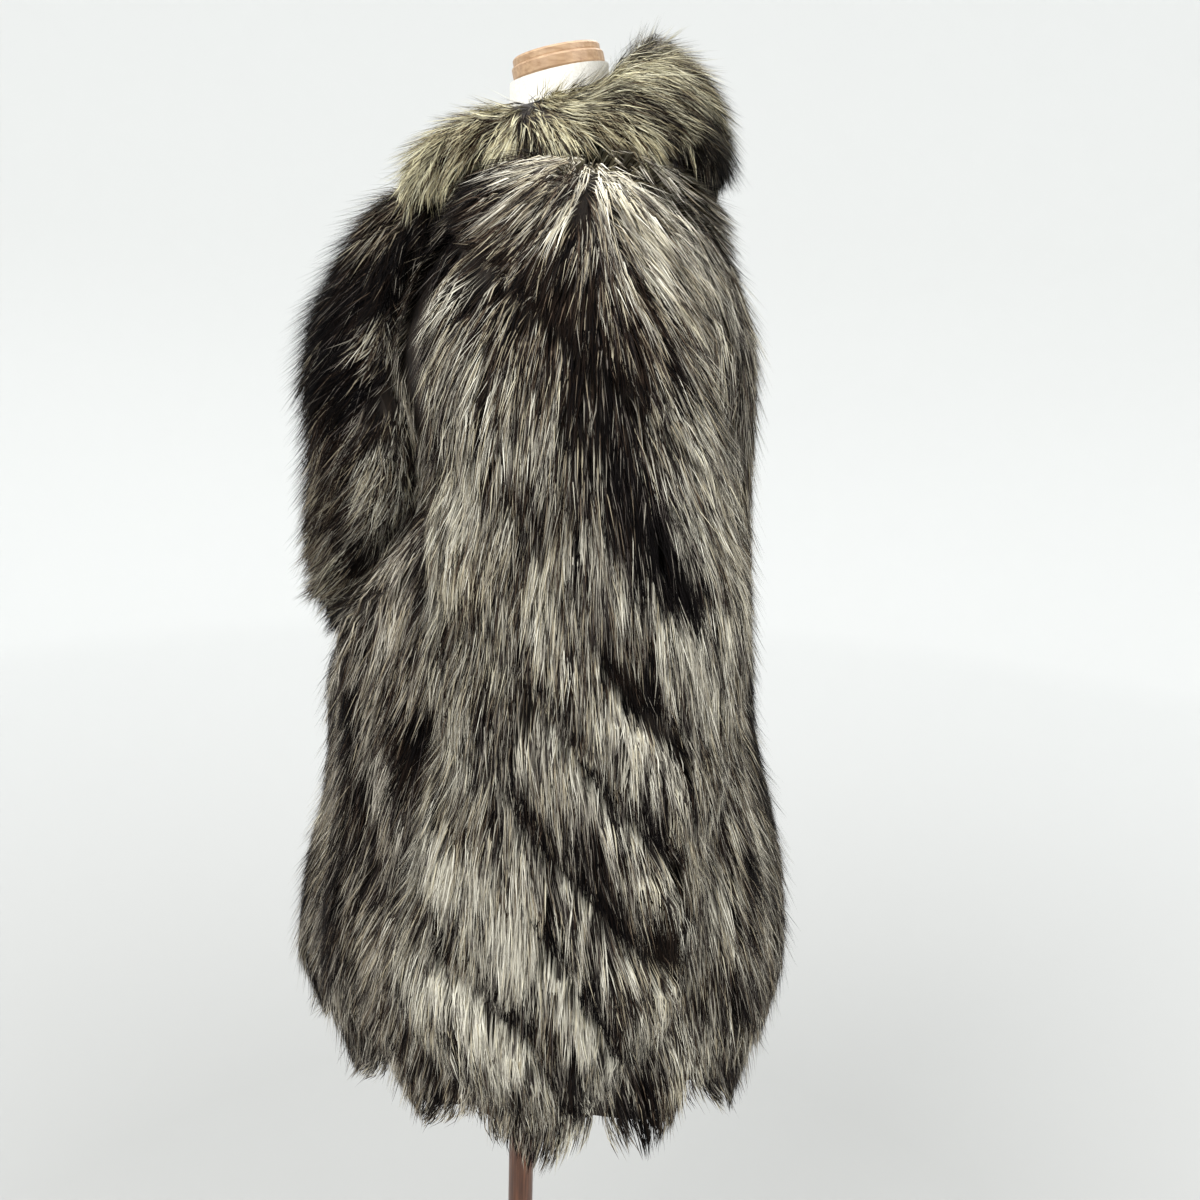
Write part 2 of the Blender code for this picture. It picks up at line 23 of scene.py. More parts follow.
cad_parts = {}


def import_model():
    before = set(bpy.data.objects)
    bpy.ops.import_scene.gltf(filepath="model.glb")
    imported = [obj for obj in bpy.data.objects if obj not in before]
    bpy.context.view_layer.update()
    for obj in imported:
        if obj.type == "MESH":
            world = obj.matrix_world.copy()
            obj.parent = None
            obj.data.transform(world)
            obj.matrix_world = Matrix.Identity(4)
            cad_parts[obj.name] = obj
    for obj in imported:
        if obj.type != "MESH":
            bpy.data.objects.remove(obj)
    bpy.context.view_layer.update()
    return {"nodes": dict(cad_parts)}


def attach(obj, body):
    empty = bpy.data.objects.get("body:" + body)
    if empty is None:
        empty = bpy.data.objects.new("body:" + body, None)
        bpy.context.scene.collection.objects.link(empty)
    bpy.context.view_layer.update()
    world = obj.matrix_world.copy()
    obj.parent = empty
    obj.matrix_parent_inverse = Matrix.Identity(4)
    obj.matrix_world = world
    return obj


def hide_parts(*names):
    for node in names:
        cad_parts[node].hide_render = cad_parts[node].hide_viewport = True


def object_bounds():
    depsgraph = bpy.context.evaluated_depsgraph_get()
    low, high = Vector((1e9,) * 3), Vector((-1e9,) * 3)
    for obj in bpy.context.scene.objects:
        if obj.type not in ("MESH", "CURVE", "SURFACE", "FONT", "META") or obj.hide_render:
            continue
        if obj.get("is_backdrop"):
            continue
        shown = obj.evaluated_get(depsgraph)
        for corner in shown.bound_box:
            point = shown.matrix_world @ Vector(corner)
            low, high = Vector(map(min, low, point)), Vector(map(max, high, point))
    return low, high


log = logging.getLogger("fur_coat")

HAIR_MAP = "OFBake"
ROOT = "root"

Array = np.ndarray
Pair = tuple[float, float]
Triple = tuple[float, float, float]


class Side(Enum):
    """The two sides of the coat, as the wearer has them."""

    LEFT = 1
    RIGHT = -1

    @property
    def word(self) -> str:
        """The side's name as pieces have it."""
        return self.name.lower()


# --------------------------------------------------------------------------- small arithmetic
def unit(vectors: Array) -> Array:
    """Vectors made one long, row by row."""
    return vectors / np.maximum(np.linalg.norm(vectors, axis=-1, keepdims=True), 1e-12)


def dot(a: Array, b: Array) -> Array:
    """Row by row product of two lists of vectors, as a column."""
    return (a * b).sum(-1, keepdims=True)


def ease(low: float, high: float, value: Array) -> Array:
    """0 below low, 1 above high, and an S between."""
    t = np.clip((value - low) / (high - low), 0.0, 1.0)
    return t * t * (3.0 - 2.0 * t)


def fade(low: float, high: float, value: Array) -> Array:
    """1 below low, 0 above high, and an S between."""
    return 1.0 - ease(low, high, value)


def at_corners(points: Array, triangles: Array) -> tuple[Array, ...]:
    """Every triangle's first corner, second corner and third corner."""
    return tuple(points[triangles[:, i]] for i in range(3))


def triangle_areas(points: Array, triangles: Array) -> Array:
    """The area of each triangle."""
    a, b, c = at_corners(points, triangles)
    return 0.5 * np.linalg.norm(np.cross(b - a, c - a), axis=1)


@dataclass(frozen=True)
class Noise:
    """Soft noise about 0: its strength, its size, one for all or along X, Y and Z, and its pattern."""

    strength: float
    size: float | Triple
    seed: int

    WAVES: ClassVar[int] = 9

    def at(self, points: Array) -> Array:
        """One value for each point, mostly between -strength and strength."""
        rng = np.random.default_rng(self.seed)
        total = np.zeros(len(points))
        for _ in range(self.WAVES):
            wave = unit(rng.normal(size=3)) * rng.uniform(0.6, 1.7) * 2.0 * math.pi / np.asarray(self.size)
            total += np.sin(points @ wave + rng.uniform(0.0, 2.0 * math.pi))
        return self.strength * (total / 3.0)


@dataclass(frozen=True)
class Change:
    """A change by an amount, in an S, while a measure goes from low to high."""

    amount: float
    low: float
    high: float

    def up(self, value: Array) -> Array:
        """Nothing below low, and the amount above high."""
        return self.amount * ease(self.low, self.high, value)

    def down(self, value: Array) -> Array:
        """The amount below low, and nothing above high."""
        return self.amount * fade(self.low, self.high, value)


# --------------------------------------------------------------------------- finishes
class Paint:
    """A new material, with the means to add nodes and to wire them up."""

    def __init__(self, name: str, **settings: object) -> None:
        """Starts with a Principled shader that has these settings."""
        self.material = bpy.data.materials.new(name)
        self.material.use_nodes = True
        self.tree = self.material.node_tree
        self.shader = self.tree.nodes["Principled BSDF"]
        self.adjust(self.shader, settings)

    def add(self, kind: str, **settings: object) -> bpy.types.Node:
        """Adds a node.

        Args:
            kind: its type, less the ShaderNode that every type begins with.
            settings: its inputs, which begin with a capital and have _ for a space, and its
                properties, which begin with a small letter.

        Returns:
            The node.
        """
        node = self.tree.nodes.new("ShaderNode" + kind)
        self.adjust(node, settings)
        return node

    def adjust(self, node: bpy.types.Node, settings: dict[str, object]) -> None:
        """Sets a node's inputs and properties, as for add."""
        for name, value in settings.items():
            if name[0].isupper():
                node.inputs[name.replace("_", " ")].default_value = value
            else:
                setattr(node, name, value)

    def wire(self, *wires: tuple[bpy.types.Node, str, bpy.types.Node, str | int]) -> None:
        """Joins an output of one node to an input of another, for each wire."""
        for start, output, end, entry in wires:
            self.tree.links.new(start.outputs[output], end.inputs[entry])


@dataclass(frozen=True)
class FurTone:
    """Colour of a hair of one tone: at its root, along its middle band and at its tip."""

    root: Triple
    band: Triple
    tip: Triple


COOL_TONES: tuple[FurTone, ...] = (
    FurTone((0.0012, 0.0010, 0.0011), (0.0012, 0.0010, 0.0013), (0.0008, 0.0007, 0.0008)),
    FurTone((0.0080, 0.0060, 0.0050), (0.0170, 0.0135, 0.0125), (0.0050, 0.0040, 0.0040)),
    FurTone((0.0200, 0.0155, 0.0125), (0.0980, 0.0830, 0.0730), (0.0220, 0.0180, 0.0162)),
    FurTone((0.0520, 0.0410, 0.0320), (0.4000, 0.3700, 0.2980), (0.1500, 0.1300, 0.1120)),
    FurTone((0.1900, 0.1600, 0.1250), (0.8600, 0.8250, 0.7000), (0.6200, 0.5750, 0.4950)),
)
WARM_TONES: tuple[FurTone, ...] = (
    FurTone((0.0050, 0.0032, 0.0024), (0.0080, 0.0048, 0.0034), (0.0040, 0.0027, 0.0022)),
    FurTone((0.0150, 0.0095, 0.0066), (0.0310, 0.0200, 0.0140), (0.0120, 0.0080, 0.0060)),
    FurTone((0.0310, 0.0210, 0.0140), (0.1150, 0.0820, 0.0570), (0.0310, 0.0220, 0.0160)),
    FurTone((0.0700, 0.0520, 0.0350), (0.4000, 0.3480, 0.2450), (0.1700, 0.1400, 0.1000)),
    FurTone((0.2000, 0.1650, 0.1150), (0.8300, 0.7750, 0.6000), (0.6000, 0.5400, 0.4200)),
)
# where the two families of tones begin on a hair's ramps, and how far each runs
COOL_FROM, WARM_FROM, TONE_SPAN = 0.02, 0.54, 0.44


@dataclass(frozen=True)
class FurFinish:
    """Guard hair. Its colour is read off the hair's own map: along the hair, and across the tones."""

    name: str
    tint: Triple = (1.0, 1.0, 1.0)
    roughness: float = 0.52
    sheen: float = 0.03
    # the middle of the change from root to band and from band to tip, and half its length
    band: Pair = (0.34, 0.24)
    tip: Pair = (0.86, 0.12)

    def ramp(self, paint: Paint, part: str) -> bpy.types.Node:
        """Adds the colour ramp across the tones for one part of the hair."""
        node = paint.add("ValToRGB")
        stops = node.color_ramp.elements
        rows = [
            (start + TONE_SPAN * i / (len(tones) - 1.0), getattr(tone, part))
            for start, tones in ((COOL_FROM, COOL_TONES), (WARM_FROM, WARM_TONES))
            for i, tone in enumerate(tones)
        ]
        while len(stops) < len(rows):
            stops.new(0.5)
        for stop, (place, colour) in zip(stops, rows):
            stop.position = place
            stop.color = (*(c * t for c, t in zip(colour, self.tint)), 1.0)
        return node

    def material(self) -> bpy.types.Material:
        """Makes the finish."""
        paint = Paint(self.name, Roughness=self.roughness, Specular_IOR_Level=self.sheen)
        uv = paint.add("UVMap", uv_map=HAIR_MAP)
        split = paint.add("SeparateXYZ")
        root, band, tip = (self.ramp(paint, part) for part in ("root", "band", "tip"))
        paint.wire((uv, "UV", split, "Vector"), *((split, "Y", ramp, "Fac") for ramp in (root, band, tip)))
        colour = (root, "Color")
        for (middle, half), ramp in ((self.band, band), (self.tip, tip)):
            rise = paint.add(
                "MapRange", interpolation_type="SMOOTHSTEP", From_Min=middle - half, From_Max=middle + half
            )
            mix = paint.add("Mix", data_type="RGBA")
            paint.wire(
                (split, "X", rise, "Value"), (rise, "Result", mix, "Factor"),
                (*colour, mix, "A"), (ramp, "Color", mix, "B"),
            )
            colour = (mix, "Result")
        paint.wire((*colour, paint.shader, "Base Color"))
        return paint.material


@dataclass(frozen=True)
class SurfaceFinish:
    """A finish of two colours mixed by stretched noise, with a bump of the same noise."""

    name: str
    dark: Triple
    light: Triple
    stretch: Triple
    scale: float
    roughness: Pair = (0.7, 0.85)
    bump: float = 0.3
    depth: float = 0.0008
    spread: Pair = (0.35, 0.68)
    turn: float = 0.0

    def material(self) -> bpy.types.Material:
        """Makes the finish."""
        paint = Paint(self.name)
        place = paint.add("TexCoord")
        fit = paint.add("Mapping", Scale=self.stretch, Rotation=(self.turn, 0.0, 0.0))
        noise = paint.add("TexNoise", Scale=self.scale, Detail=5.0, Roughness=0.6)
        ramp = paint.add("ValToRGB")
        for stop, at, colour in zip(ramp.color_ramp.elements, self.spread, (self.dark, self.light)):
            stop.position, stop.color = at, (*colour, 1.0)
        rough = paint.add("MapRange", To_Min=self.roughness[0], To_Max=self.roughness[1])
        bump = paint.add("Bump", Strength=self.bump, Distance=self.depth)
        paint.wire(
            (place, "Object", fit, "Vector"),
            (fit, "Vector", noise, "Vector"),
            (noise, "Fac", ramp, "Fac"),
            (noise, "Fac", rough, "Value"),
            (noise, "Fac", bump, "Height"),
            (ramp, "Color", paint.shader, "Base Color"),
            (rough, "Result", paint.shader, "Roughness"),
            (bump, "Normal", paint.shader, "Normal"),
        )
        return paint.material


UNDERFUR = SurfaceFinish(
    "underfur", (0.005, 0.0030, 0.0018), (0.027, 0.0165, 0.0098), (260.0, 260.0, 30.0), 1.0,
    roughness=(0.80, 0.92), bump=0.6, depth=0.002,
)
SKIN_SIDE = SurfaceFinish(
    "skin_side", (0.150, 0.120, 0.095), (0.215, 0.180, 0.145), (1.0, 1.0, 1.0), 90.0,
    roughness=(0.68, 0.82), bump=0.2, depth=0.0006,
)
FORM_CLOTH = SurfaceFinish(
    "form_cloth", (0.600, 0.575, 0.520), (0.740, 0.720, 0.665), (1.0, 1.0, 1.0), 620.0,
    roughness=(0.82, 0.92), bump=0.35, depth=0.0004,
)
CAP_WOOD = SurfaceFinish(
    "cap_wood", (0.300, 0.175, 0.090), (0.500, 0.335, 0.200), (14.0, 1.0, 14.0), 26.0,
    roughness=(0.34, 0.50), bump=0.12, depth=0.0003, spread=(0.30, 0.72), turn=math.radians(16.0),
)
POLE_WOOD = SurfaceFinish(
    "pole_wood", (0.045, 0.016, 0.008), (0.145, 0.058, 0.028), (30.0, 30.0, 1.6), 9.0,
    roughness=(0.26, 0.40), bump=0.10, depth=0.0003,
)
BASE_WOOD = SurfaceFinish(
    "base_wood", (0.038, 0.014, 0.007), (0.120, 0.048, 0.024), (2.0, 22.0, 22.0), 6.0,
    roughness=(0.28, 0.44), bump=0.10, depth=0.0003,
)


@dataclass(frozen=True)
class StageShadedPaint:
    """Paint that gets lighter away from the middle of the floor: painted shade near the middle, against the
    lamps' pool of light there, and painted light out on the wall.
    """

    name: str = "stage_paint_and_painted_light"
    # painted shade on the floor's middle and painted light on the wall, standing in for the fall of light in
    # a pale room
    floor: Triple = (0.400, 0.400, 0.390)
    wall: Triple = (0.738, 0.741, 0.730)
    near: float = 0.8
    far: float = 3.4
    roughness: float = 0.85
    sheen: float = 0.1

    def material(self) -> bpy.types.Material:
        """Makes the finish."""
        paint = Paint(self.name, Roughness=self.roughness, Specular_IOR_Level=self.sheen)
        place = paint.add("TexCoord")
        length = paint.add("VectorMath", operation="LENGTH")
        away = paint.add("MapRange", From_Min=self.near, From_Max=self.far)
        mix = paint.add("Mix", data_type="RGBA", A=(*self.floor, 1.0), B=(*self.wall, 1.0))
        paint.wire(
            (place, "Object", length, 0),
            (length, "Value", away, "Value"),
            (away, "Result", mix, "Factor"),
            (mix, "Result", paint.shader, "Base Color"),
        )
        return paint.material


# --------------------------------------------------------------------------- fur surface
@dataclass
class FurFace:
    """The outer face of a fur solid, with the depth of the fur under each point."""

    points: Array
    normals: Array
    depths: Array
    triangles: Array
    tree: BVHTree

    def sample(self, count: int, weight: Array, rng: np.random.Generator) -> Array:
        """Spreads points over the face.

        Args:
            count: how many.
            weight: share of each triangle, besides its area.
            rng: where the chance comes from.

        Returns:
            The points, one a row.
        """
        a, b, c = at_corners(self.points, self.triangles)
        area = triangle_areas(self.points, self.triangles) * weight
        chosen = rng.choice(len(area), size=count, p=area / area.sum())
        u, v = rng.random((2, count, 1))
        over = (u + v) > 1.0
        u, v = np.where(over, 1.0 - u, u), np.where(over, 1.0 - v, v)
        return a[chosen] + u * (b - a)[chosen] + v * (c - a)[chosen]

    def settle(self, places: Array) -> tuple[Array, Array, Array]:
        """Brings places onto the face.

        Args:
            places: points near the face.

        Returns:
            The points on the face, the face's smooth normals there and the fur's depth.
        """
        near = np.empty_like(places)
        index = np.empty(len(places), int)
        find = self.tree.find_nearest
        for i, place in enumerate(places.tolist()):
            spot, _, face, _ = find(place)
            near[i], index[i] = spot, face
        corner = self.triangles[index]
        a, b, c = at_corners(self.points, corner)
        e, f, g = b - a, c - a, near - a
        ee, ff, ef = dot(e, e), dot(f, f), dot(e, f)
        ge, gf = dot(g, e), dot(g, f)
        base = np.maximum(ee * ff - ef * ef, 1e-18)
        v = (ff * ge - ef * gf) / base
        w = (ee * gf - ef * ge) / base
        share = np.clip(np.stack([1.0 - v - w, v, w], 1), 0.0, 1.0)
        normal = unit((self.normals[corner] * share).sum(1))
        depth = (self.depths[corner][..., None] * share).sum(1)[:, 0]
        return near, normal, depth


@dataclass
class FurSolid:
    """A packed fur solid.

    kind is 1 for each triangle on the outer face, -1 on the skin side and 0 along an edge, and skin
    finds places on the skin side.
    """

    points: Array
    triangles: Array
    kind: Array
    skin: BVHTree

    def face(self, deepest: float) -> FurFace:
        """The outer face. No fur on it is taken as deeper than deepest."""
        outer = self.triangles[self.kind == 1]
        a, b, c = at_corners(self.points, outer)
        normals = np.zeros_like(self.points)
        for i in range(3):
            np.add.at(normals, outer[:, i], np.cross(b - a, c - a))
        depths = np.zeros(len(self.points))
        for i in np.unique(outer):
            foot = self.skin.find_nearest(self.points[i].tolist())[0]
            depths[i] = min(deepest, (Vector(self.points[i]) - foot).length)
        tree = BVHTree.FromPolygons(self.points.tolist(), outer.tolist())
        return FurFace(self.points, unit(normals), depths, outer, tree)


@dataclass(frozen=True)
class Patch:
    """A patch of one tone on the coat's side: an ellipse in the Y-Z plane."""

    y: float
    z: float
    half_long: float
    half_wide: float
    turn: float
    tone: float
    warm: float
    strength: float

    def cover(self, y: Array, z: Array) -> Array:
        """How much of the patch lies at each place, from 0 to its strength."""
        angle = math.radians(self.turn)
        dy, dz = y - self.y, z - self.z
        long = (dy * math.cos(angle) + dz * math.sin(angle)) / self.half_long
        wide = (-dy * math.sin(angle) + dz * math.cos(angle)) / self.half_wide
        return self.strength * np.exp(-((long * long + wide * wide) ** 2.0) * 0.7)


def patches(*rows: tuple[float, ...]) -> tuple[Patch, ...]:
    """Patches, from rows of their fields in order."""
    return tuple(Patch(*row) for row in rows)


def lay_patches(
    laid: tuple[Patch, ...], y: Array, z: Array, tone: Array, warm: Array, where: Array | float = 1.0
) -> tuple[Array, Array]:
    """Lays patches over a panel's own tones.

    Args:
        laid: the patches, each over those before it.
        y: the places along Y.
        z: their heights.
        tone: the tone there without patches.
        warm: the warmth there without patches.
        where: share of the patches that shows.

    Returns:
        Tone and warmth with the patches.
    """
    for patch in laid:
        share = patch.cover(y, z) * where
        tone = tone * (1.0 - share) + patch.tone * share
        warm = warm * (1.0 - share) + patch.warm * share
    return tone, warm


@dataclass
class Locks:
    """Locks of guard hair laid along a face: their places, normals and lays at each station.

    depth is the fur's depth at each root, and free is 1 where a lock has its whole length and 0
    where it ends at a line.
    """

    path: list[Array]
    normals: list[Array]
    lays: list[Array]
    depth: Array
    free: Array

    def seen(self) -> Array:
        """The places of the stretches that show."""
        return 0.45 * self.path[1] + 0.55 * self.path[2]


@dataclass
class FurPanel:
    """One piece of the coat: its pelt and its guard hair.

    The fields are the panel's sizes: how many hairs it has, how long they are, how far the tips stand off,
    and the flat size that its pelts are let out and sewn to, which nothing here uses.
    """

    node: str
    slot: str
    hairs: int
    flat: Pair
    flat_area: float
    length: float = 0.050
    width: float = 0.00088
    lock_across: float = 0.0030
    lock_along: float = 0.0120
    gather: float = 0.60
    tip_off: float = 0.0018
    wisp_off: float = 0.0150
    wisps: float = 0.10
    bend: float = 0.06
    curl: float = 0.0015
    lock_contrast: float = 0.22
    past_edge: float = 0.40
    droop: float = 0.45
    lining: str = "skin_side"
    tint: Triple = (1.0, 1.0, 1.0)
    rests_on: tuple[str, ...] = ("dress_form",)
    seed: int = 1
    side: Side = Side.LEFT

    # the middle of the hollow that the panel closes in: across, along Y, and its highest place
    MIDDLE: ClassVar[Triple] = (0.0, 0.020, 1.15)
    HAIRS_IN_LOCK: ClassVar[int] = 13
    STATIONS: ClassVar[tuple[float, ...]] = (0.0, 0.5, 1.0)
    # the pelt takes up this share of the fur's depth, and no more than this
    PELT_SHARE: ClassVar[float] = 0.50
    PELT_MOST: ClassVar[float] = 0.0150
    # locks shorter than this are left out
    SHORTEST: ClassVar[float] = 0.010
    # fur of this depth has hair of its whole length, and no depth is taken as more than the second
    FULL_DEPTH: ClassVar[float] = 0.028
    DEEPEST: ClassVar[float] = 0.040
    # between these depths fur that is pressed flat begins to carry hair
    BARE_TO_COVERED: ClassVar[Pair] = (0.0025, 0.0065)
    # a face turned from the hollow's middle by more than this is outer face, or else skin side
    FACING: ClassVar[float] = 0.12
    # the rims of the armholes: faces square to X, this near to this place
    ARMHOLE_SQUARE: ClassVar[float] = 0.985
    ARMHOLE_X: ClassVar[float] = 0.1683
    ARMHOLE_NEAR: ClassVar[float] = 0.0012
    # a lock that runs on by more than this is past the edge and hangs free
    FREE_AFTER: ClassVar[float] = 0.0022
    # how far up or down the hair its tone is read, so that patches have streaked ends
    STREAK: ClassVar[float] = 0.004
    # the least that a hair's middle and its tip stand above the pelt, and how deep its root sits
    CLEAR: ClassVar[Pair] = (0.0022, 0.0030)
    ROOTED: ClassVar[float] = 0.0010

    # ---- what each kind of panel says for itself
    def heart(self, points: Array) -> Array:
        """Places inside the hollow that the panel closes in, one for each point of its own."""
        across, along, top = self.MIDDLE
        heart = np.full_like(points, along)
        heart[:, 0] = self.side.value * across
        heart[:, 2] = np.minimum(points[:, 2], top)
        return heart

    def growth(self, points: Array, normals: Array) -> Array:
        """The way the hair lies, before it is laid along the surface."""
        raise NotImplementedError

    def tone(self, points: Array) -> tuple[Array, Array]:
        """Tone, from black to cream, and warmth, from grey to brown, at each point."""
        raise NotImplementedError

    def relief(self, points: Array, lay: Array) -> tuple[Array, Array]:
        """What the hair does at each root.

        Args:
            points: the roots.
            lay: the way the hair lies there.

        Returns:
            How far it stands above the solid's face, and the longest that it may be: 1 m for any.
        """
        return np.zeros(len(points)), np.ones(len(points))

    def lead(self, points: Array) -> Array:
        """How much of a hair's dark root is hidden under another piece, at each root."""
        return np.zeros(len(points))

    def least(self, points: Array) -> Array:
        """Share of its length that hair keeps where the fur is pressed flat."""
        return np.full(len(points), 0.42)

    def furred_edge(self, normals: Array) -> Array:
        """Which faces along the edges carry hair as well."""
        return np.zeros(len(normals), bool)

    def density(self, centres: Array, normals: Array, depths: Array) -> Array:
        """How thickly hair is set on each triangle; none where the fur is pressed flat."""
        return ease(*self.BARE_TO_COVERED, depths)

    # ---- the solid
    def read(self, solid: bpy.types.Object) -> FurSolid:
        """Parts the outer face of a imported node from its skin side."""
        mesh = solid.data
        raw = np.empty(len(mesh.vertices) * 3)
        mesh.vertices.foreach_get("co", raw)
        mesh.calc_loop_triangles()
        corners = np.empty(len(mesh.loop_triangles) * 3, int)
        mesh.loop_triangles.foreach_get("vertices", corners)
        _, first, same = np.unique(
            np.round(raw.reshape(-1, 3), 6), axis=0, return_index=True, return_inverse=True
        )
        points = raw.reshape(-1, 3)[first]
        triangles = same.reshape(-1)[corners].reshape(-1, 3)
        triangles = triangles[(triangles != np.roll(triangles, 1, axis=1)).all(1)]
        a, b, c = at_corners(points, triangles)
        across = unit(np.cross(b - a, c - a))
        centre = (a + b + c) / 3.0
        facing = dot(across, unit(centre - self.heart(centre)))[:, 0]
        kind = np.where(facing > self.FACING, 1, np.where(facing < -self.FACING, -1, 0))
        square = np.abs(across[:, 0]) > self.ARMHOLE_SQUARE
        kind[square & (np.abs(np.abs(centre[:, 0]) - self.ARMHOLE_X) < self.ARMHOLE_NEAR)] = 0
        kind[(kind == 0) & self.furred_edge(across)] = 1
        skin = BVHTree.FromPolygons(points.tolist(), triangles[kind == -1].tolist())
        return FurSolid(points, triangles, kind, skin)

    def make_pelts(self, fur: FurSolid, linings: dict[str, bpy.types.Material]) -> bpy.types.Object:
        """The pelts: the solid's own skin side, with a thin layer of underfur on it.

        Args:
            fur: the solid.
            linings: the finishes of underfur and skin side, by name.

        Returns:
            The finished piece.
        """
        skin, outer = (np.unique(fur.triangles[fur.kind == k]) for k in (-1, 1))
        moved = fur.points.copy()
        for i in np.setdiff1d(outer, skin):
            foot = np.array(fur.skin.find_nearest(fur.points[i].tolist())[0])
            out = fur.points[i] - foot
            thick = float(np.linalg.norm(out))
            keep = min(self.PELT_SHARE * thick, self.PELT_MOST)
            moved[i] = foot + out * (keep / max(thick, 1e-6))
        mesh = bpy.data.meshes.new(self.node + "_pelts")
        mesh.from_pydata(moved.tolist(), [], fur.triangles.tolist())
        mesh.materials.append(linings[UNDERFUR.name])
        mesh.materials.append(linings[self.lining])
        mesh.polygons.foreach_set("material_index", (fur.kind == -1).astype(np.int32))
        mesh.shade_smooth()
        mesh.set_sharp_from_angle(angle=math.radians(55.0))
        mesh.update()
        return link(self.node + "_pelts", mesh)

    # ---- the hair
    def comb(self, face: FurFace) -> bpy.types.Object:
        """Sets the guard hair in locks on the pelts and lays it along the surface.

        Args:
            face: the solid's outer face.

        Returns:
            The hair, one mesh of narrow leaves with a map along and across it.
        """
        rng = np.random.default_rng(self.seed)
        locks = self.hairs // self.HAIRS_IN_LOCK
        corner = face.triangles
        centres = face.points[corner].mean(1)
        share = self.density(centres, unit(face.normals[corner].sum(1)), face.depths[corner].mean(1))
        roots = face.sample(locks, share, rng)
        laid = self.lay_locks(face, roots, rng)
        locks = len(laid.free)
        tone, warm = self.tone(laid.seen() + laid.lays[1] * self.STREAK * rng.normal(size=(locks, 1)))
        tone = tone + self.lock_contrast * rng.normal(size=locks) * ease(0.02, 0.30, tone)
        return self.grow(laid, tone, warm, rng)

    def lay_locks(self, face: FurFace, roots: Array, rng: np.random.Generator) -> Locks:
        """Follows each lock along the surface, and on past its edge.

        Args:
            face: the solid's outer face.
            roots: where the locks start.
            rng: where the chance comes from.

        Returns:
            The locks.
        """
        spot, normal, depth = face.settle(roots)
        first = self.growth(spot, normal)
        longest = self.relief(spot, unit(first - normal * dot(first, normal)))[1]
        keep = longest > self.SHORTEST
        spot, normal, depth, longest = spot[keep], normal[keep], depth[keep], longest[keep]
        count = len(spot)
        long = self.length * np.clip(depth / self.FULL_DEPTH, self.least(spot), 1.05)
        free = ease(0.85, 1.0, longest / long)
        long = np.minimum(long, longest) * (1.0 + rng.uniform(-0.18, 0.14, count) * (0.25 + 0.75 * free))
        bend = self.bend * rng.normal(size=(count, 1))
        path, normals, lays = [spot], [normal], []
        for before, after in zip(self.STATIONS, self.STATIONS[1:]):
            lay = self.growth(spot, normal)
            lay = unit(lay - normal * dot(lay, normal))
            lay = unit(lay + np.cross(normal, lay) * bend)
            if lays:
                lay = unit(lay + 0.6 * (lays[-1] - normal * dot(lays[-1], normal)))
            ahead = spot + lay * (long * (after - before))[:, None]
            near, turned, _ = face.settle(ahead)
            off = ahead - near
            over = np.linalg.norm(off - turned * dot(off, turned), axis=1)
            past = over > self.FREE_AFTER
            off[:, 2] -= self.droop * over
            spot = np.where(past[:, None], near + off * self.past_edge, near)
            normal = np.where(past[:, None], normal, unit(normal * 0.4 + turned * 0.6))
            path.append(spot)
            normals.append(normal)
            lays.append(lay)
        lays.append(lays[-1])
        return Locks(path, normals, lays, depth, free)

    def grow(
        self, laid: Locks, tone: Array, warm: Array, rng: np.random.Generator
    ) -> bpy.types.Object:
        """Turns the locks into hairs.

        Args:
            laid: the locks.
            tone: each lock's tone.
            warm: each lock's warmth.
            rng: where the chance comes from.

        Returns:
            The hair as one mesh.
        """
        locks = len(tone)
        lock = np.repeat(np.arange(locks), self.HAIRS_IN_LOCK)
        count = len(lock)
        across = rng.normal(size=(count, 1)) * self.lock_across
        along = rng.uniform(-1.0, 1.0, (count, 1)) * self.lock_along * (0.2 + 0.8 * laid.free[lock, None])
        curl = rng.normal(size=(count, 1)) * self.curl
        lift = np.abs(rng.normal(size=count)) * self.tip_off
        wisp = rng.random(count) < self.wisps
        lift = np.where(wisp, rng.uniform(0.3, 1.0, count) * self.wisp_off, lift)
        lock_lift = np.abs(rng.normal(size=locks)) * self.tip_off
        deep = laid.depth[lock]
        pelt = np.minimum(self.PELT_SHARE * deep, self.PELT_MOST)
        rise = self.relief(laid.path[0], laid.lays[0])[0][lock]
        lift = lift + lock_lift[lock] - self.ROOTED
        bare = -(deep - pelt)
        heights = (
            bare - self.ROOTED,
            np.maximum(0.16 * bare + 0.36 * lift + 0.85 * rise, bare + self.CLEAR[0]),
            np.maximum(lift + rise, bare + self.CLEAR[1]),
        )
        wide = self.width * rng.uniform(0.6, 1.3, (count, 1)) * np.where(wisp, 0.6, 1.0)[:, None]
        twist = rng.uniform(-0.7, 0.7, (count, 1))
        leaves, shades = [], []
        for k, s in enumerate(self.STATIONS):
            normal, lay = laid.normals[k][lock], laid.lays[k][lock]
            side = unit(np.cross(lay, normal))
            place = laid.path[k][lock] + normal * heights[k][:, None]
            place = place + side * (across * (1.0 - self.gather * s**1.2) + curl * s * s) + lay * along
            edge = (side * np.cos(twist) + normal * np.sin(twist)) * wide * 0.5
            shade = unit(normal + (normal * np.cos(twist) - side * np.sin(twist)) * 0.9 + lay * 0.15)
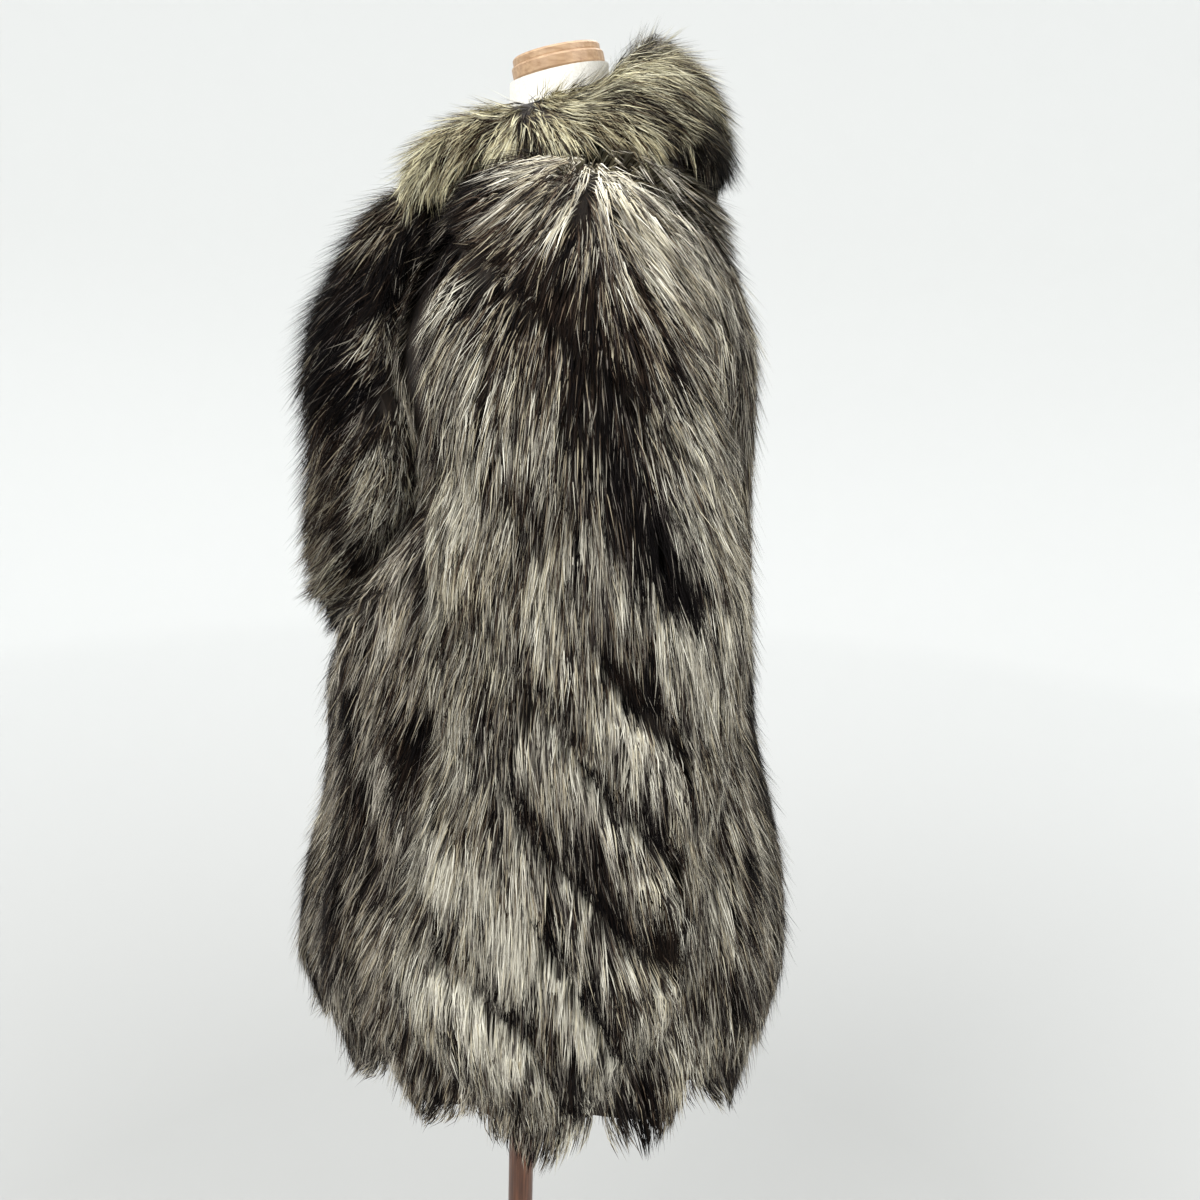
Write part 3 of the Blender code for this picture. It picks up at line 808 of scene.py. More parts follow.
            # root 0, the pair at the middle 1 2, tip 3
            for aside in (-1.0, 1.0) if k == 1 else (0.0,):
                leaves.append(place + edge * aside)
                shades.append(shade)
        points = np.stack(leaves, 1).reshape(-1, 3)
        shade = np.stack(shades, 1).reshape(-1, 3)
        start = np.arange(count)[:, None, None] * 4
        faces = (start + np.array([[0, 2, 1], [1, 2, 3]])).reshape(-1, 3)
        tones = self.hair_tones(tone[lock], warm[lock], rng)
        lead = self.lead(laid.path[0])[lock, None]
        us = np.array([self.STATIONS[k] for k in (0, 1, 1, 2)])
        u = us * (0.84 - 0.80 * lead) + lead + rng.uniform(0.0, 0.16, (count, 1))
        u = np.minimum(u, 1.0).reshape(-1)
        v = np.repeat(tones, 4)
        return self.hair_mesh(points, faces, shade, u, v)

    def hair_tones(self, tone: Array, warm: Array, rng: np.random.Generator) -> Array:
        """Mixes dark and bright hairs, so that each lock has its tone on the whole.

        Args:
            tone: the tone of each hair's lock.
            warm: its warmth.
            rng: where the chance comes from.

        Returns:
            Each hair's place on the ramp across the tones.
        """
        count = len(tone)
        tone = np.clip(tone, 0.0, 1.0)
        bright = rng.random(count) < np.clip(tone * 0.98 + 0.035, 0.0, 1.0)
        dark = rng.random(count) * np.clip(0.05 + 0.80 * tone, 0.0, 0.40)
        mixed = np.where(bright, rng.uniform(0.62, 1.0, count), dark)
        value = np.clip(0.36 * tone + 0.64 * mixed, 0.0, 1.0)
        brown = rng.random(count) < warm
        return np.where(brown, WARM_FROM, COOL_FROM) + TONE_SPAN * value

    def hair_mesh(
        self, points: Array, faces: Array, shade: Array, u: Array, v: Array
    ) -> bpy.types.Object:
        """Writes the hairs' arrays into a mesh.

        Args:
            points: the hairs' points.
            faces: their triangles.
            shade: the normals that the points are shaded with.
            u: place along the hair, for each point.
            v: place across the tones, for each point.

        Returns:
            The finished piece.
        """
        name = self.node + "_fur"
        mesh = bpy.data.meshes.new(name)
        mesh.vertices.add(len(points))
        mesh.vertices.foreach_set("co", points.astype(np.float32).reshape(-1))
        mesh.loops.add(faces.size)
        mesh.loops.foreach_set("vertex_index", faces.astype(np.int32).reshape(-1))
        mesh.polygons.add(len(faces))
        mesh.polygons.foreach_set("loop_start", np.arange(0, faces.size, 3, dtype=np.int32))
        mesh.update(calc_edges=True)
        layer = mesh.uv_layers.new(name=HAIR_MAP)
        flat = faces.reshape(-1)
        layer.uv.foreach_set("vector", np.stack([u[flat], v[flat]], 1).astype(np.float32).reshape(-1))
        mesh.shade_smooth()
        mesh.normals_split_custom_set_from_vertices(shade.tolist())
        mesh.materials.append(FurFinish(name, self.tint).material())
        return link(name, mesh)

    def build(
        self, solids: dict[str, bpy.types.Object], linings: dict[str, bpy.types.Material]
    ) -> None:
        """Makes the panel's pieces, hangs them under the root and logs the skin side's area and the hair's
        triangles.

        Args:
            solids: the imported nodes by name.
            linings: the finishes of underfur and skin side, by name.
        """
        fur = self.read(solids[self.node])
        pelts = self.make_pelts(fur, linings)
        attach(pelts, ROOT)
        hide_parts(self.node)
        hair = self.comb(fur.face(self.DEEPEST))
        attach(hair, ROOT)
        area = triangle_areas(fur.points, fur.triangles[fur.kind == -1]).sum()
        log.info("%s: skin side %.3f m2, %d hair triangles", self.node, area, len(hair.data.polygons))


# --------------------------------------------------------------------------- the coat's panels
BODY_PATCHES = patches(
    # y, z, half_long, half_wide, turn in degrees, tone, warm, strength
    (-0.093, 1.130, 0.090, 0.018, 82.0, 0.62, 0.25, 0.7),
    (-0.135, 1.130, 0.080, 0.016, 80.0, 0.12, 0.60, 0.7),
    (-0.093, 0.955, 0.050, 0.010, -78.0, 0.08, 0.70, 0.8),
    (-0.075, 1.020, 0.050, 0.014, 80.0, 0.60, 0.35, 0.6),
    (-0.120, 1.020, 0.060, 0.012, 85.0, 0.62, 0.20, 0.6),
    (-0.144, 0.833, 0.120, 0.016, 86.0, 0.26, 0.25, 0.7),
    (-0.110, 0.840, 0.070, 0.010, 84.0, 0.18, 0.55, 0.6),
    (-0.090, 0.760, 0.050, 0.020, 70.0, 0.42, 0.45, 0.6),
    (0.177, 0.831, 0.100, 0.010, 88.0, 0.66, 0.30, 0.6),
    (0.160, 0.900, 0.120, 0.008, 84.0, 0.20, 0.40, 0.6),
    (0.200, 0.760, 0.080, 0.010, 80.0, 0.30, 0.30, 0.5),
    # painted shadow: a near-black patch under the sleeve's cuff, where the sleeve shadows the hem
    (0.096, 0.668, 0.011, 0.008, 60.0, 0.02, 0.10, 0.90),
    (0.079, 0.650, 0.018, 0.013, 60.0, 0.10, 0.30, 0.85),
    (0.010, 0.655, 0.045, 0.030, 0.0, 0.46, 0.30, 0.8),
    (0.132, 0.680, 0.026, 0.024, 0.0, 0.60, 0.30, 0.8),
    (-0.141, 0.682, 0.026, 0.018, 0.0, 0.54, 0.35, 0.85),
    (-0.070, 0.662, 0.022, 0.016, 0.0, 0.42, 0.35, 0.70),
    (0.183, 0.672, 0.026, 0.022, 0.0, 0.52, 0.30, 0.85),
    (0.120, 1.227, 0.040, 0.012, -60.0, 0.05, 0.30, 0.9),
)


@dataclass
class BodyPanel(FurPanel):
    """The back or a front: upright pelts with a dark middle and silver sides."""

    pelts_round: int = 14
    pelt_drift: Noise = Noise(0.30, (0.25, 0.25, 0.35), 21)
    # the hair's slant towards the back, at places along Y from the front to the back
    slant_at: tuple[float, ...] = (-0.20, -0.05, 0.06, 0.25)
    slants: tuple[float, ...] = (-0.36, -0.18, 0.04, 0.30)
    sways: tuple[Noise, ...] = (Noise(0.16, (0.09, 0.09, 0.16), 11), Noise(0.12, (0.09, 0.09, 0.16), 12))
    # between these heights it turns outwards over the shoulders, away from this place along Y
    over_shoulder: Pair = (1.29, 1.37)
    shoulder_y: float = 0.035
    # how much lower it is between two pelts, and the heights over which that ends
    valley: float = 0.0060
    valley_ends: Pair = (1.20, 1.30)
    # how it rises to meet the collar, and how much less it does so out towards the sleeves
    neck_rise: Change = Change(0.016, 1.350, 1.378)
    outer_rise: Change = Change(0.85, 0.125, 0.160)
    # how much more of its length it keeps at the hem, and still more behind
    hem: Pair = (0.675, 0.720)
    hem_keeps: float = 0.24
    hem_keeps_behind: Change = Change(0.26, 0.02, 0.06)
    under_collar: Change = Change(0.40, 1.330, 1.360)
    # the stretch beside the lapels: out from the middle, up, and forward
    beside_lapels: tuple[Pair, Pair, Pair] = ((0.10, 0.13), (0.98, 1.03), (-0.070, -0.050))
    beside_depths: Pair = (0.003, 0.006)
    # tones: halfway across a pelt, how much darker along its middle, how they vary, and painted shade towards
    # the hem
    mid_tone: float = 0.455
    pelt_tone: float = 0.19
    streaks: Noise = Noise(0.13, (0.035, 0.035, 0.16), 22)
    clouds: Noise = Noise(0.10, 0.11, 23)
    # painted shade: darker towards the hem, where the light from above is dimmer
    low_painted_shade: Change = Change(0.06, 0.80, 1.00)
    warmth: float = 0.30
    warm_clouds: Noise = Noise(0.22, (0.07, 0.07, 0.12), 24)
    # the light hair on the shoulders: up, back from the front, and forward from the back
    light_shoulder: tuple[Pair, Pair, Pair] = ((1.330, 1.362), (-0.040, -0.015), (0.110, 0.140))
    shoulder_tone: float = 0.80
    shoulder_streaks: Noise = Noise(0.20, (0.03, 0.012, 0.03), 25)
    # patches show from this far out from the coat's middle
    patched_from: float = 0.05

    def growth(self, points: Array, normals: Array) -> Array:
        """Down, towards the front edge on the fronts and away from it on the back."""
        x, y, z = points.T
        way = np.stack([np.zeros_like(x), np.interp(y, self.slant_at, self.slants), -np.ones_like(x)], 1)
        for axis, sway in enumerate(self.sways):
            way[:, axis] += sway.at(points)
        top = ease(*self.over_shoulder, z)[:, None]
        off = np.stack([x * 1.2, (y - self.shoulder_y) * 1.6, np.full_like(x, -0.05)], 1)
        return way * (1.0 - 0.8 * top) + unit(off) * top

    def wave(self, points: Array) -> Array:
        """1 along the middle of an upright pelt and -1 between two."""
        angle = np.arctan2(points[:, 0], -(points[:, 1] - self.MIDDLE[1]))
        drift = self.pelt_drift.at(points)
        return np.cos(self.pelts_round * (angle - math.pi / self.pelts_round) + drift)

    def relief(self, points: Array, lay: Array) -> tuple[Array, Array]:
        """Lower between two pelts, and higher at the neck, where it meets the collar."""
        x, _, z = points.T
        rise = -self.valley * (0.5 - 0.5 * self.wave(points)) ** 2 * fade(*self.valley_ends, z)
        inland = 1.0 - self.outer_rise.up(np.abs(x))
        return rise + self.neck_rise.up(z) * inland, np.ones(len(points))

    def least(self, points: Array) -> Array:
        """At the hem hair keeps more of its length, and nearly all of it behind."""
        _, y, z = points.T
        return super().least(points) + (self.hem_keeps + self.hem_keeps_behind.up(y)) * fade(*self.hem, z)

    def lead(self, points: Array) -> Array:
        """Over the shoulders the roots are hidden under the collar."""
        return self.under_collar.up(points[:, 2])

    def density(self, centres: Array, normals: Array, depths: Array) -> Array:
        """As on any panel, and thick behind the lapels, where the front shows beside them."""
        x, y, z = centres.T
        out, up, ahead = self.beside_lapels
        beside = ease(*out, np.abs(x)) * ease(*up, z) * fade(*ahead, y) * ease(*self.beside_depths, depths)
        return np.maximum(super().density(centres, normals, depths), beside)

    def tone(self, points: Array) -> tuple[Array, Array]:
        """Tone and warmth of the upright pelts."""
        x, y, z = points.T
        tone = self.mid_tone - self.pelt_tone * self.wave(points) + self.streaks.at(points)
        # clouds, and painted shade that darkens the tone towards the hem
        tone = tone + self.clouds.at(points) - self.low_painted_shade.down(z)
        warm = np.clip(self.warmth + self.warm_clouds.at(points), 0.0, 1.0)
        up, back, ahead = self.light_shoulder
        shoulder = ease(*up, z) * ease(*back, y) * fade(*ahead, y)
        tone = tone * (1.0 - shoulder) + (self.shoulder_tone + self.shoulder_streaks.at(points)) * shoulder
        return lay_patches(BODY_PATCHES, y, z, tone, warm, where=np.abs(x) > self.patched_from)


SLEEVE_PATCHES = patches(
    # the shoulder's fan
    (0.050, 1.358, 0.034, 0.024, 85.0, 0.60, 0.60, 0.8),
    (0.086, 1.334, 0.072, 0.021, -54.0, 0.92, 0.50, 0.95),
    (-0.006, 1.347, 0.034, 0.016, 68.0, 0.70, 0.50, 0.9),
    (0.014, 1.362, 0.024, 0.009, 74.0, 0.30, 0.95, 0.85),
    (0.124, 1.345, 0.030, 0.012, -60.0, 0.45, 0.40, 0.7),
    (0.046, 1.308, 0.056, 0.015, -30.0, 0.40, 0.50, 0.8),
    (0.046, 1.322, 0.015, 0.006, -52.0, 0.14, 0.65, 0.9),
    (0.121, 1.285, 0.050, 0.020, -72.0, 0.44, 0.45, 0.8),
    (0.082, 1.268, 0.046, 0.018, -40.0, 0.26, 0.60, 0.85),
    # the first furrow's brown band
    (0.030, 1.272, 0.078, 0.024, -38.0, 0.04, 0.96, 0.98),
    (-0.022, 1.304, 0.024, 0.014, -50.0, 0.08, 0.98, 0.9),
    (0.098, 1.246, 0.026, 0.014, -40.0, 0.14, 0.50, 0.85),
    (-0.020, 1.262, 0.044, 0.024, 82.0, 0.36, 0.40, 0.88),
    (0.010, 1.262, 0.046, 0.022, -66.0, 0.20, 0.55, 0.88),
    (0.052, 1.232, 0.052, 0.030, -56.0, 0.17, 0.35, 0.9),
    (0.118, 1.224, 0.030, 0.010, -58.0, 0.02, 0.30, 0.95),
    # cream front and the blue-black band behind it
    (-0.012, 1.208, 0.040, 0.022, -40.0, 0.52, 0.40, 0.9),
    (0.026, 1.186, 0.034, 0.014, -45.0, 0.54, 0.35, 0.8),
    (-0.032, 1.158, 0.030, 0.016, 76.0, 0.80, 0.30, 0.9),
    (0.103, 1.124, 0.090, 0.020, -62.0, 0.02, 0.00, 0.98),
    (0.062, 1.180, 0.040, 0.018, -60.0, 0.06, 0.15, 0.9),
    (0.012, 1.162, 0.036, 0.012, -28.0, 0.08, 0.65, 0.9),
    (0.122, 1.190, 0.052, 0.016, -66.0, 0.78, 0.30, 0.85),
    (0.150, 1.110, 0.044, 0.014, -78.0, 0.74, 0.30, 0.8),
    # the slanting pelts below
    (0.060, 1.105, 0.060, 0.016, -56.0, 0.40, 0.15, 0.7),
    (0.122, 1.056, 0.046, 0.012, -58.0, 0.95, 0.15, 0.9),
    (-0.026, 1.108, 0.024, 0.016, 80.0, 0.34, 0.95, 0.85),
    (-0.040, 1.060, 0.050, 0.014, 82.0, 0.50, 0.45, 0.7),
    (0.024, 1.072, 0.036, 0.012, -66.0, 0.66, 0.35, 0.7),
    (-0.012, 1.040, 0.040, 0.018, -70.0, 0.34, 0.55, 0.7),
    (-0.012, 0.985, 0.034, 0.012, -70.0, 0.30, 0.25, 0.7),
    (-0.034, 0.990, 0.030, 0.009, 84.0, 0.78, 0.25, 0.8),
    (-0.033, 0.936, 0.022, 0.013, -10.0, 0.28, 0.98, 0.9),
    (0.052, 0.893, 0.086, 0.020, -58.0, 0.30, 0.20, 0.9),
    (0.118, 0.840, 0.024, 0.014, -60.0, 0.04, 0.95, 0.9),
    (-0.034, 0.898, 0.034, 0.020, -10.0, 0.98, 0.12, 0.95),
    (0.016, 0.852, 0.058, 0.018, -52.0, 0.86, 0.15, 0.9),
    (0.076, 0.776, 0.034, 0.018, -55.0, 0.80, 0.20, 0.85),
    (-0.040, 0.808, 0.040, 0.020, -36.0, 0.98, 0.12, 0.95),
    (0.008, 0.762, 0.044, 0.020, -46.0, 0.92, 0.15, 0.9),
    (0.100, 0.740, 0.024, 0.012, -40.0, 0.30, 0.30, 0.7),
)


@dataclass(frozen=True)
class Furrow:
    """The line where one slanting pelt ends over the next: places along Y and heights, from the front."""

    line: tuple[Pair, ...]

    def above(self, y: Array, z: Array) -> Array:
        """How far each place is above the line."""
        along, height = np.array(self.line).T
        past = (height[-1] - height[-2]) / (along[-1] - along[-2]) * np.maximum(y - along[-1], 0.0)
        return z - np.interp(y, along, height) - past

    def strength(self, y: Array) -> Array:
        """0 in front of the line's start, 1 past it, and 0 again on the sleeve's back."""
        start = self.line[0][0]
        return ease(start - 0.008, start + 0.010, y) * fade(0.124, 0.144, y)


FURROWS: tuple[Furrow, ...] = (
    Furrow(((-0.060, 1.354), (0.040, 1.276), (0.125, 1.210))),
    Furrow(((0.050, 1.112), (0.062, 1.076), (0.080, 1.046), (0.097, 1.034), (0.111, 1.019), (0.134, 0.986))),
    Furrow(((-0.002, 1.092), (0.007, 1.062), (0.017, 1.043), (0.044, 1.014), (0.065, 0.985), (0.093, 0.952))),
    Furrow(((-0.006, 1.000), (0.012, 0.956), (0.033, 0.934), (0.051, 0.912), (0.076, 0.882), (0.105, 0.856))),
    Furrow(((0.014, 0.900), (0.035, 0.869), (0.049, 0.848), (0.064, 0.814), (0.086, 0.780))),
    Furrow(
        ((-0.056, 0.862), (-0.028, 0.839), (-0.006, 0.822), (0.012, 0.802), (0.030, 0.778), (0.041, 0.746))
    ),
)


@dataclass
class SleevePanel(FurPanel):
    """A sleeve: pelts that slant down from the front to the back, and a fan over the shoulder."""

    # the place that the fan spreads from, and how far above the hair it is taken to lie
    fan_y: float = 0.050
    fan_z: float = 1.415
    fan_above: Pair = (0.020, 0.36)
    # how wide it spreads: everywhere, in front and behind, and where the one gives way to the other
    spread: float = 0.12
    spread_front: Change = Change(0.88, 1.190, 1.345)
    spread_behind: Change = Change(1.30, 1.060, 1.270)
    front_to_behind: Pair = (0.030, 0.080)
    outward: float = 0.012
    # the lower hair leans back, and the hair before the front fold leans forward
    lean: Change = Change(0.10, 0.980, 1.160)
    fold_lean: Change = Change(0.30, 0.0, 0.02)
    sways: tuple[Noise, ...] = (Noise(0.06, (0.06, 0.06, 0.11), 32), Noise(0.08, (0.05, 0.05, 0.10), 31))
    # the front fold, as height and place along Y, from low to high
    fold: tuple[Pair, ...] = (
        (1.120, -0.072), (1.164, -0.062), (1.232, -0.055), (1.290, -0.050), (1.330, -0.037), (1.370, -0.024),
    )
    furrow_waver: Noise = Noise(0.0025, 0.05, 47)
    fold_waver: Noise = Noise(0.002, 0.04, 48)
    # the hair is low under a furrow, stands over the next one, and is low before the front fold
    under_furrow: Change = Change(0.0090, 0.0, 0.014)
    over_furrow: Change = Change(0.0040, 0.0, 0.030)
    before_fold: Change = Change(0.0095, -0.002, 0.006)
    # how far it runs past the next furrow, and how much further on the shoulder
    past_furrow: float = 0.004
    past_on_shoulder: float = 0.009
    # how much of its root is hidden: at the top, under a furrow, and less in a thin line there, whose dark
    # roots are painted shade of the pelt above
    top_lead: Change = Change(0.24, 1.335, 1.365)
    under_lead: Change = Change(0.36, 0.012, 0.040)
    dark_roots_painted_shade: Change = Change(0.30, 0.002, 0.008)
    # how much thinner it is where it faces the body, near it
    thinner: float = 0.70
    facing_body: Pair = (-0.75, -0.35)
    near_body: Pair = (0.195, 0.215)
    # tones of the pelts, and how they vary
    mid_tone: float = 0.44
    streaks: Noise = Noise(0.12, (0.03, 0.03, 0.10), 41)
    clouds: Noise = Noise(0.10, 0.09, 42)
    warmth: float = 0.28
    warm_clouds: Noise = Noise(0.20, (0.05, 0.05, 0.09), 43)
    # how the patches' edges waver along X, Y and Z
    wavers: tuple[Noise, ...] = (Noise(0.006, 0.03, 44), Noise(0.006, 0.03, 45), Noise(0.006, 0.03, 46))
    # the light band below a furrow: how light, how far down, and below which heights
    band_light: float = 0.26
    band_down: Pair = (0.040, 0.070)
    band_below: Pair = (1.130, 1.110)
    # the dark edge over a furrow, and painted shade under it, where the pelt above casts its shadow
    edge_dark: Change = Change(0.28, 0.002, 0.028)
    furrow_painted_shade: Change = Change(0.85, 0.008, 0.018)
    # before the front fold: dark, then grey below a line, in streaks, and darkest in the fold, where painted
    # shade darkens the crease
    fold_tone: float = 0.05
    grey_tone: Change = Change(0.36, -0.012, 0.012)
    grey_line: Triple = (1.290, 1.4, 0.045)
    fold_streaks: Noise = Noise(0.10, (0.02, 0.02, 0.06), 49)
    fold_edge: Pair = (0.0, 0.005)
    fold_painted_shade: Change = Change(0.25, 0.0, 0.012)

    MIDDLE: ClassVar[Triple] = (0.232, 0.040, 1.20)
    # between these heights the slanting pelts give way to the shoulder's fan
    FAN: ClassVar[Pair] = (1.120, 1.160)

    def growth(self, points: Array, normals: Array) -> Array:
        """Down and out from the top of the shoulder like a fan."""
        x, y, z = points.T
        fall = np.clip(self.fan_z - z, *self.fan_above)
        front, behind = self.spread_front.up(z), self.spread_behind.up(z)
        fan = self.spread + front + (behind - front) * ease(*self.front_to_behind, y)
        out = np.full_like(x, self.side.value * self.outward)
        way = unit(np.stack([out, (y - self.fan_y) * fan, -fall], 1))
        way[:, 1] += self.lean.down(z)
        way[:, 1] -= self.fold_lean.up(self.furrow_near(points)[2])
        for axis, sway in enumerate(self.sways):
            way[:, axis] += sway.at(points)
        return way

    def furrow_near(self, points: Array) -> tuple[Array, Array, Array]:
        """Where each point lies between the furrows.

        Args:
            points: the places.

        Returns:
            The distance down from the furrow above, the distance up from the furrow below, and how
            far in front of the sleeve's front fold the place is.
        """
        _, y, z = points.T
        z = z + self.furrow_waver.at(points)
        down, up = np.ones(len(points)), np.ones(len(points))
        for furrow in FURROWS:
            above = furrow.above(y, z)
            none = 1.0 - furrow.strength(y)
            down = np.minimum(down, np.where(above < 0.0, none - above, 1.0))
            up = np.minimum(up, np.where(above >= 0.0, above + none, 1.0))
        fold_z, fold_y = np.array(self.fold).T
        before = np.interp(z, fold_z, fold_y) - y + self.fold_waver.at(points)
        return down, up, np.where(z > fold_z[0], before, -1.0)

    def relief(self, points: Array, lay: Array) -> tuple[Array, Array]:
        """Each pelt lies over the one below it, like a shingle.

        Args:
            points: the roots.
            lay: the way the hair lies there.

        Returns:
            How far the hair stands above the solid's face, which is low under a furrow, and the
            longest that it may be, which is up to the next furrow.
        """
        down, up, before = self.furrow_near(points)
        rise = self.over_furrow.down(up) - self.under_furrow.down(down) - self.before_fold.up(before)
        rate = np.clip(-(lay[:, 2] + lay[:, 1]), 0.35, 2.0)
        shoulder = ease(*self.FAN, points[:, 2])
        reach = up + self.past_furrow + self.past_on_shoulder * shoulder
        longest = np.minimum(reach / rate, 0.020 + 1.3 * down + shoulder)
        return rise, np.clip(longest, 0.0, 1.0)

    def lead(self, points: Array) -> Array:
        """The roots under the shoulder's hair and under a pelt above are hidden, but for a thin line where
        dark roots show as painted shade.
        """
        down = self.furrow_near(points)[0]
        # real dark root colour, left showing just under the furrow as painted shade of the pelt above
        under = self.under_lead.down(down) - self.dark_roots_painted_shade.down(down)
        return self.top_lead.up(points[:, 2]) + under * ease(*self.FAN[::-1], points[:, 2])

    def density(self, centres: Array, normals: Array, depths: Array) -> Array:
        """Thin where the sleeve lies against the body."""
        away = normals[:, 0] * self.side.value
        hidden = fade(*self.facing_body, away) * fade(*self.near_body, np.abs(centres[:, 0]))
        return (1.0 - self.thinner * hidden) * super().density(centres, normals, depths)

    def tone(self, points: Array) -> tuple[Array, Array]:
        """Tone and warmth of the slanting pelts."""
        _, y, z = points.T
        down, up, before = self.furrow_near(points)
        tone = self.mid_tone + self.streaks.at(points) + self.clouds.at(points)
        warm = np.clip(self.warmth + self.warm_clouds.at(points), 0.0, 1.0)
        _, ys, zs = (points + np.stack([waver.at(points) for waver in self.wavers], 1)).T
        tone, warm = lay_patches(SLEEVE_PATCHES, ys, zs, tone, warm)
        band = fade(*self.band_down, down) * ease(*self.band_below, z)
        sleeve = ease(*self.FAN[::-1], z)
        tone = tone + self.band_light * band * (1.0 - 0.5 * tone) - self.edge_dark.down(up) * sleeve
        # painted shade: darker just under each furrow, where the overhanging pelt above shadows the next
        tone = tone - self.furrow_painted_shade.down(down) * (0.25 + 0.75 * sleeve)
        top, slope, start = self.grey_line
        grey = self.grey_tone.up(top + slope * (y + start) - z)
        own, _ = lay_patches(
            LAPEL_PATCHES, y, z, self.fold_tone + grey + self.fold_streaks.at(points), warm
        )
        front = ease(*self.fold_edge, before)
        # painted shade: darker right at the front fold, in the crease
        tone = tone * (1.0 - front) + front * (own - self.fold_painted_shade.down(before))
        return tone, warm


LAPEL_PATCHES = patches(
    # the light roll at the top
    (-0.072, 1.384, 0.050, 0.020, 52.0, 0.68, 0.55, 0.9),
    (-0.102, 1.334, 0.042, 0.015, 58.0, 0.34, 0.85, 0.9),
    # light streaks towards the edge
    (-0.050, 1.290, 0.032, 0.014, 50.0, 0.64, 0.45, 0.85),
    (-0.106, 1.252, 0.024, 0.010, 30.0, 0.58, 0.60, 0.85),
    (-0.078, 1.262, 0.018, 0.008, 50.0, 0.40, 0.50, 0.7),
    # the grey below them
    (-0.100, 1.165, 0.060, 0.026, 78.0, 0.60, 0.30, 0.85),
    (-0.158, 1.120, 0.060, 0.022, 82.0, 0.34, 0.75, 0.8),
    (-0.152, 1.060, 0.030, 0.020, 70.0, 0.52, 0.60, 0.7),
)


@dataclass
class LapelPanel(FurPanel):
    """A lapel: near-black fur turned back over the front."""

    # how much the hair lies out to the side, forward and down, and how much more forward in front
    out: float = 0.30
    forward: float = 0.10
    front_forward: Change = Change(0.44, -0.118, -0.088)
    fall: float = 0.70
    sways: tuple[Noise, ...] = (Noise(0.22, (0.05, 0.05, 0.07), 51), Noise(0.16, (0.05, 0.05, 0.07), 52))
    pressed: Change = Change(0.0180, -0.185, -0.145)
    edge_turn: float = 0.25
    covered: Pair = (0.0015, 0.0050)
    # the tone, near black, and how it varies
    mid_tone: float = -0.04
    streaks: Noise = Noise(0.09, (0.02, 0.02, 0.04), 61)
    warmth: float = 0.25
    warm_clouds: Noise = Noise(0.2, 0.05, 62)

    def growth(self, points: Array, normals: Array) -> Array:
        """Out to the side, forward and down."""
        x, y, _ = points.T
        out = np.full_like(x, self.side.value * self.out)
        way = np.stack([out, -(self.forward + self.front_forward.down(y)), np.full_like(x, -self.fall)], 1)
        for axis, sway in zip((0, 2), self.sways):
            way[:, axis] += sway.at(points)
        return way

    def relief(self, points: Array, lay: Array) -> tuple[Array, Array]:
        """Pressed flatter towards the front."""
        return -self.pressed.down(points[:, 1]), np.ones(len(points))

    def furred_edge(self, normals: Array) -> Array:
        """The edge that faces the sleeve."""
        return normals[:, 1] > self.edge_turn

    def density(self, centres: Array, normals: Array, depths: Array) -> Array:
        """Up to the lapel's edges."""
        return ease(*self.covered, depths)

    def tone(self, points: Array) -> tuple[Array, Array]:
        """Near black, with a grey-cream roll and a few light streaks."""
        _, y, z = points.T
        tone = self.mid_tone + self.streaks.at(points)
        warm = np.clip(self.warmth + self.warm_clouds.at(points), 0.0, 1.0)
        return lay_patches(LAPEL_PATCHES, y, z, tone, warm)


COLLAR_PATCHES = patches(
    (0.130, 1.404, 0.028, 0.015, -50.0, 0.05, 0.10, 0.95),
    (0.125, 1.376, 0.040, 0.019, 0.0, 0.05, 0.15, 0.95),
    (0.088, 1.420, 0.030, 0.007, -38.0, 0.10, 0.30, 0.85),
    (0.152, 1.402, 0.020, 0.018, 0.0, 0.07, 0.10, 0.90),
    (0.070, 1.414, 0.022, 0.007, -40.0, 0.12, 0.35, 0.8),
    (-0.006, 1.407, 0.009, 0.008, 0.0, 0.03, 0.30, 0.9),
    (-0.040, 1.395, 0.040, 0.008, 40.0, 0.16, 0.60, 0.7),
    (0.085, 1.468, 0.034, 0.008, 0.0, 0.34, 0.35, 0.7),
    (0.060, 1.440, 0.040, 0.012, 14.0, 0.86, 0.45, 0.7),
)


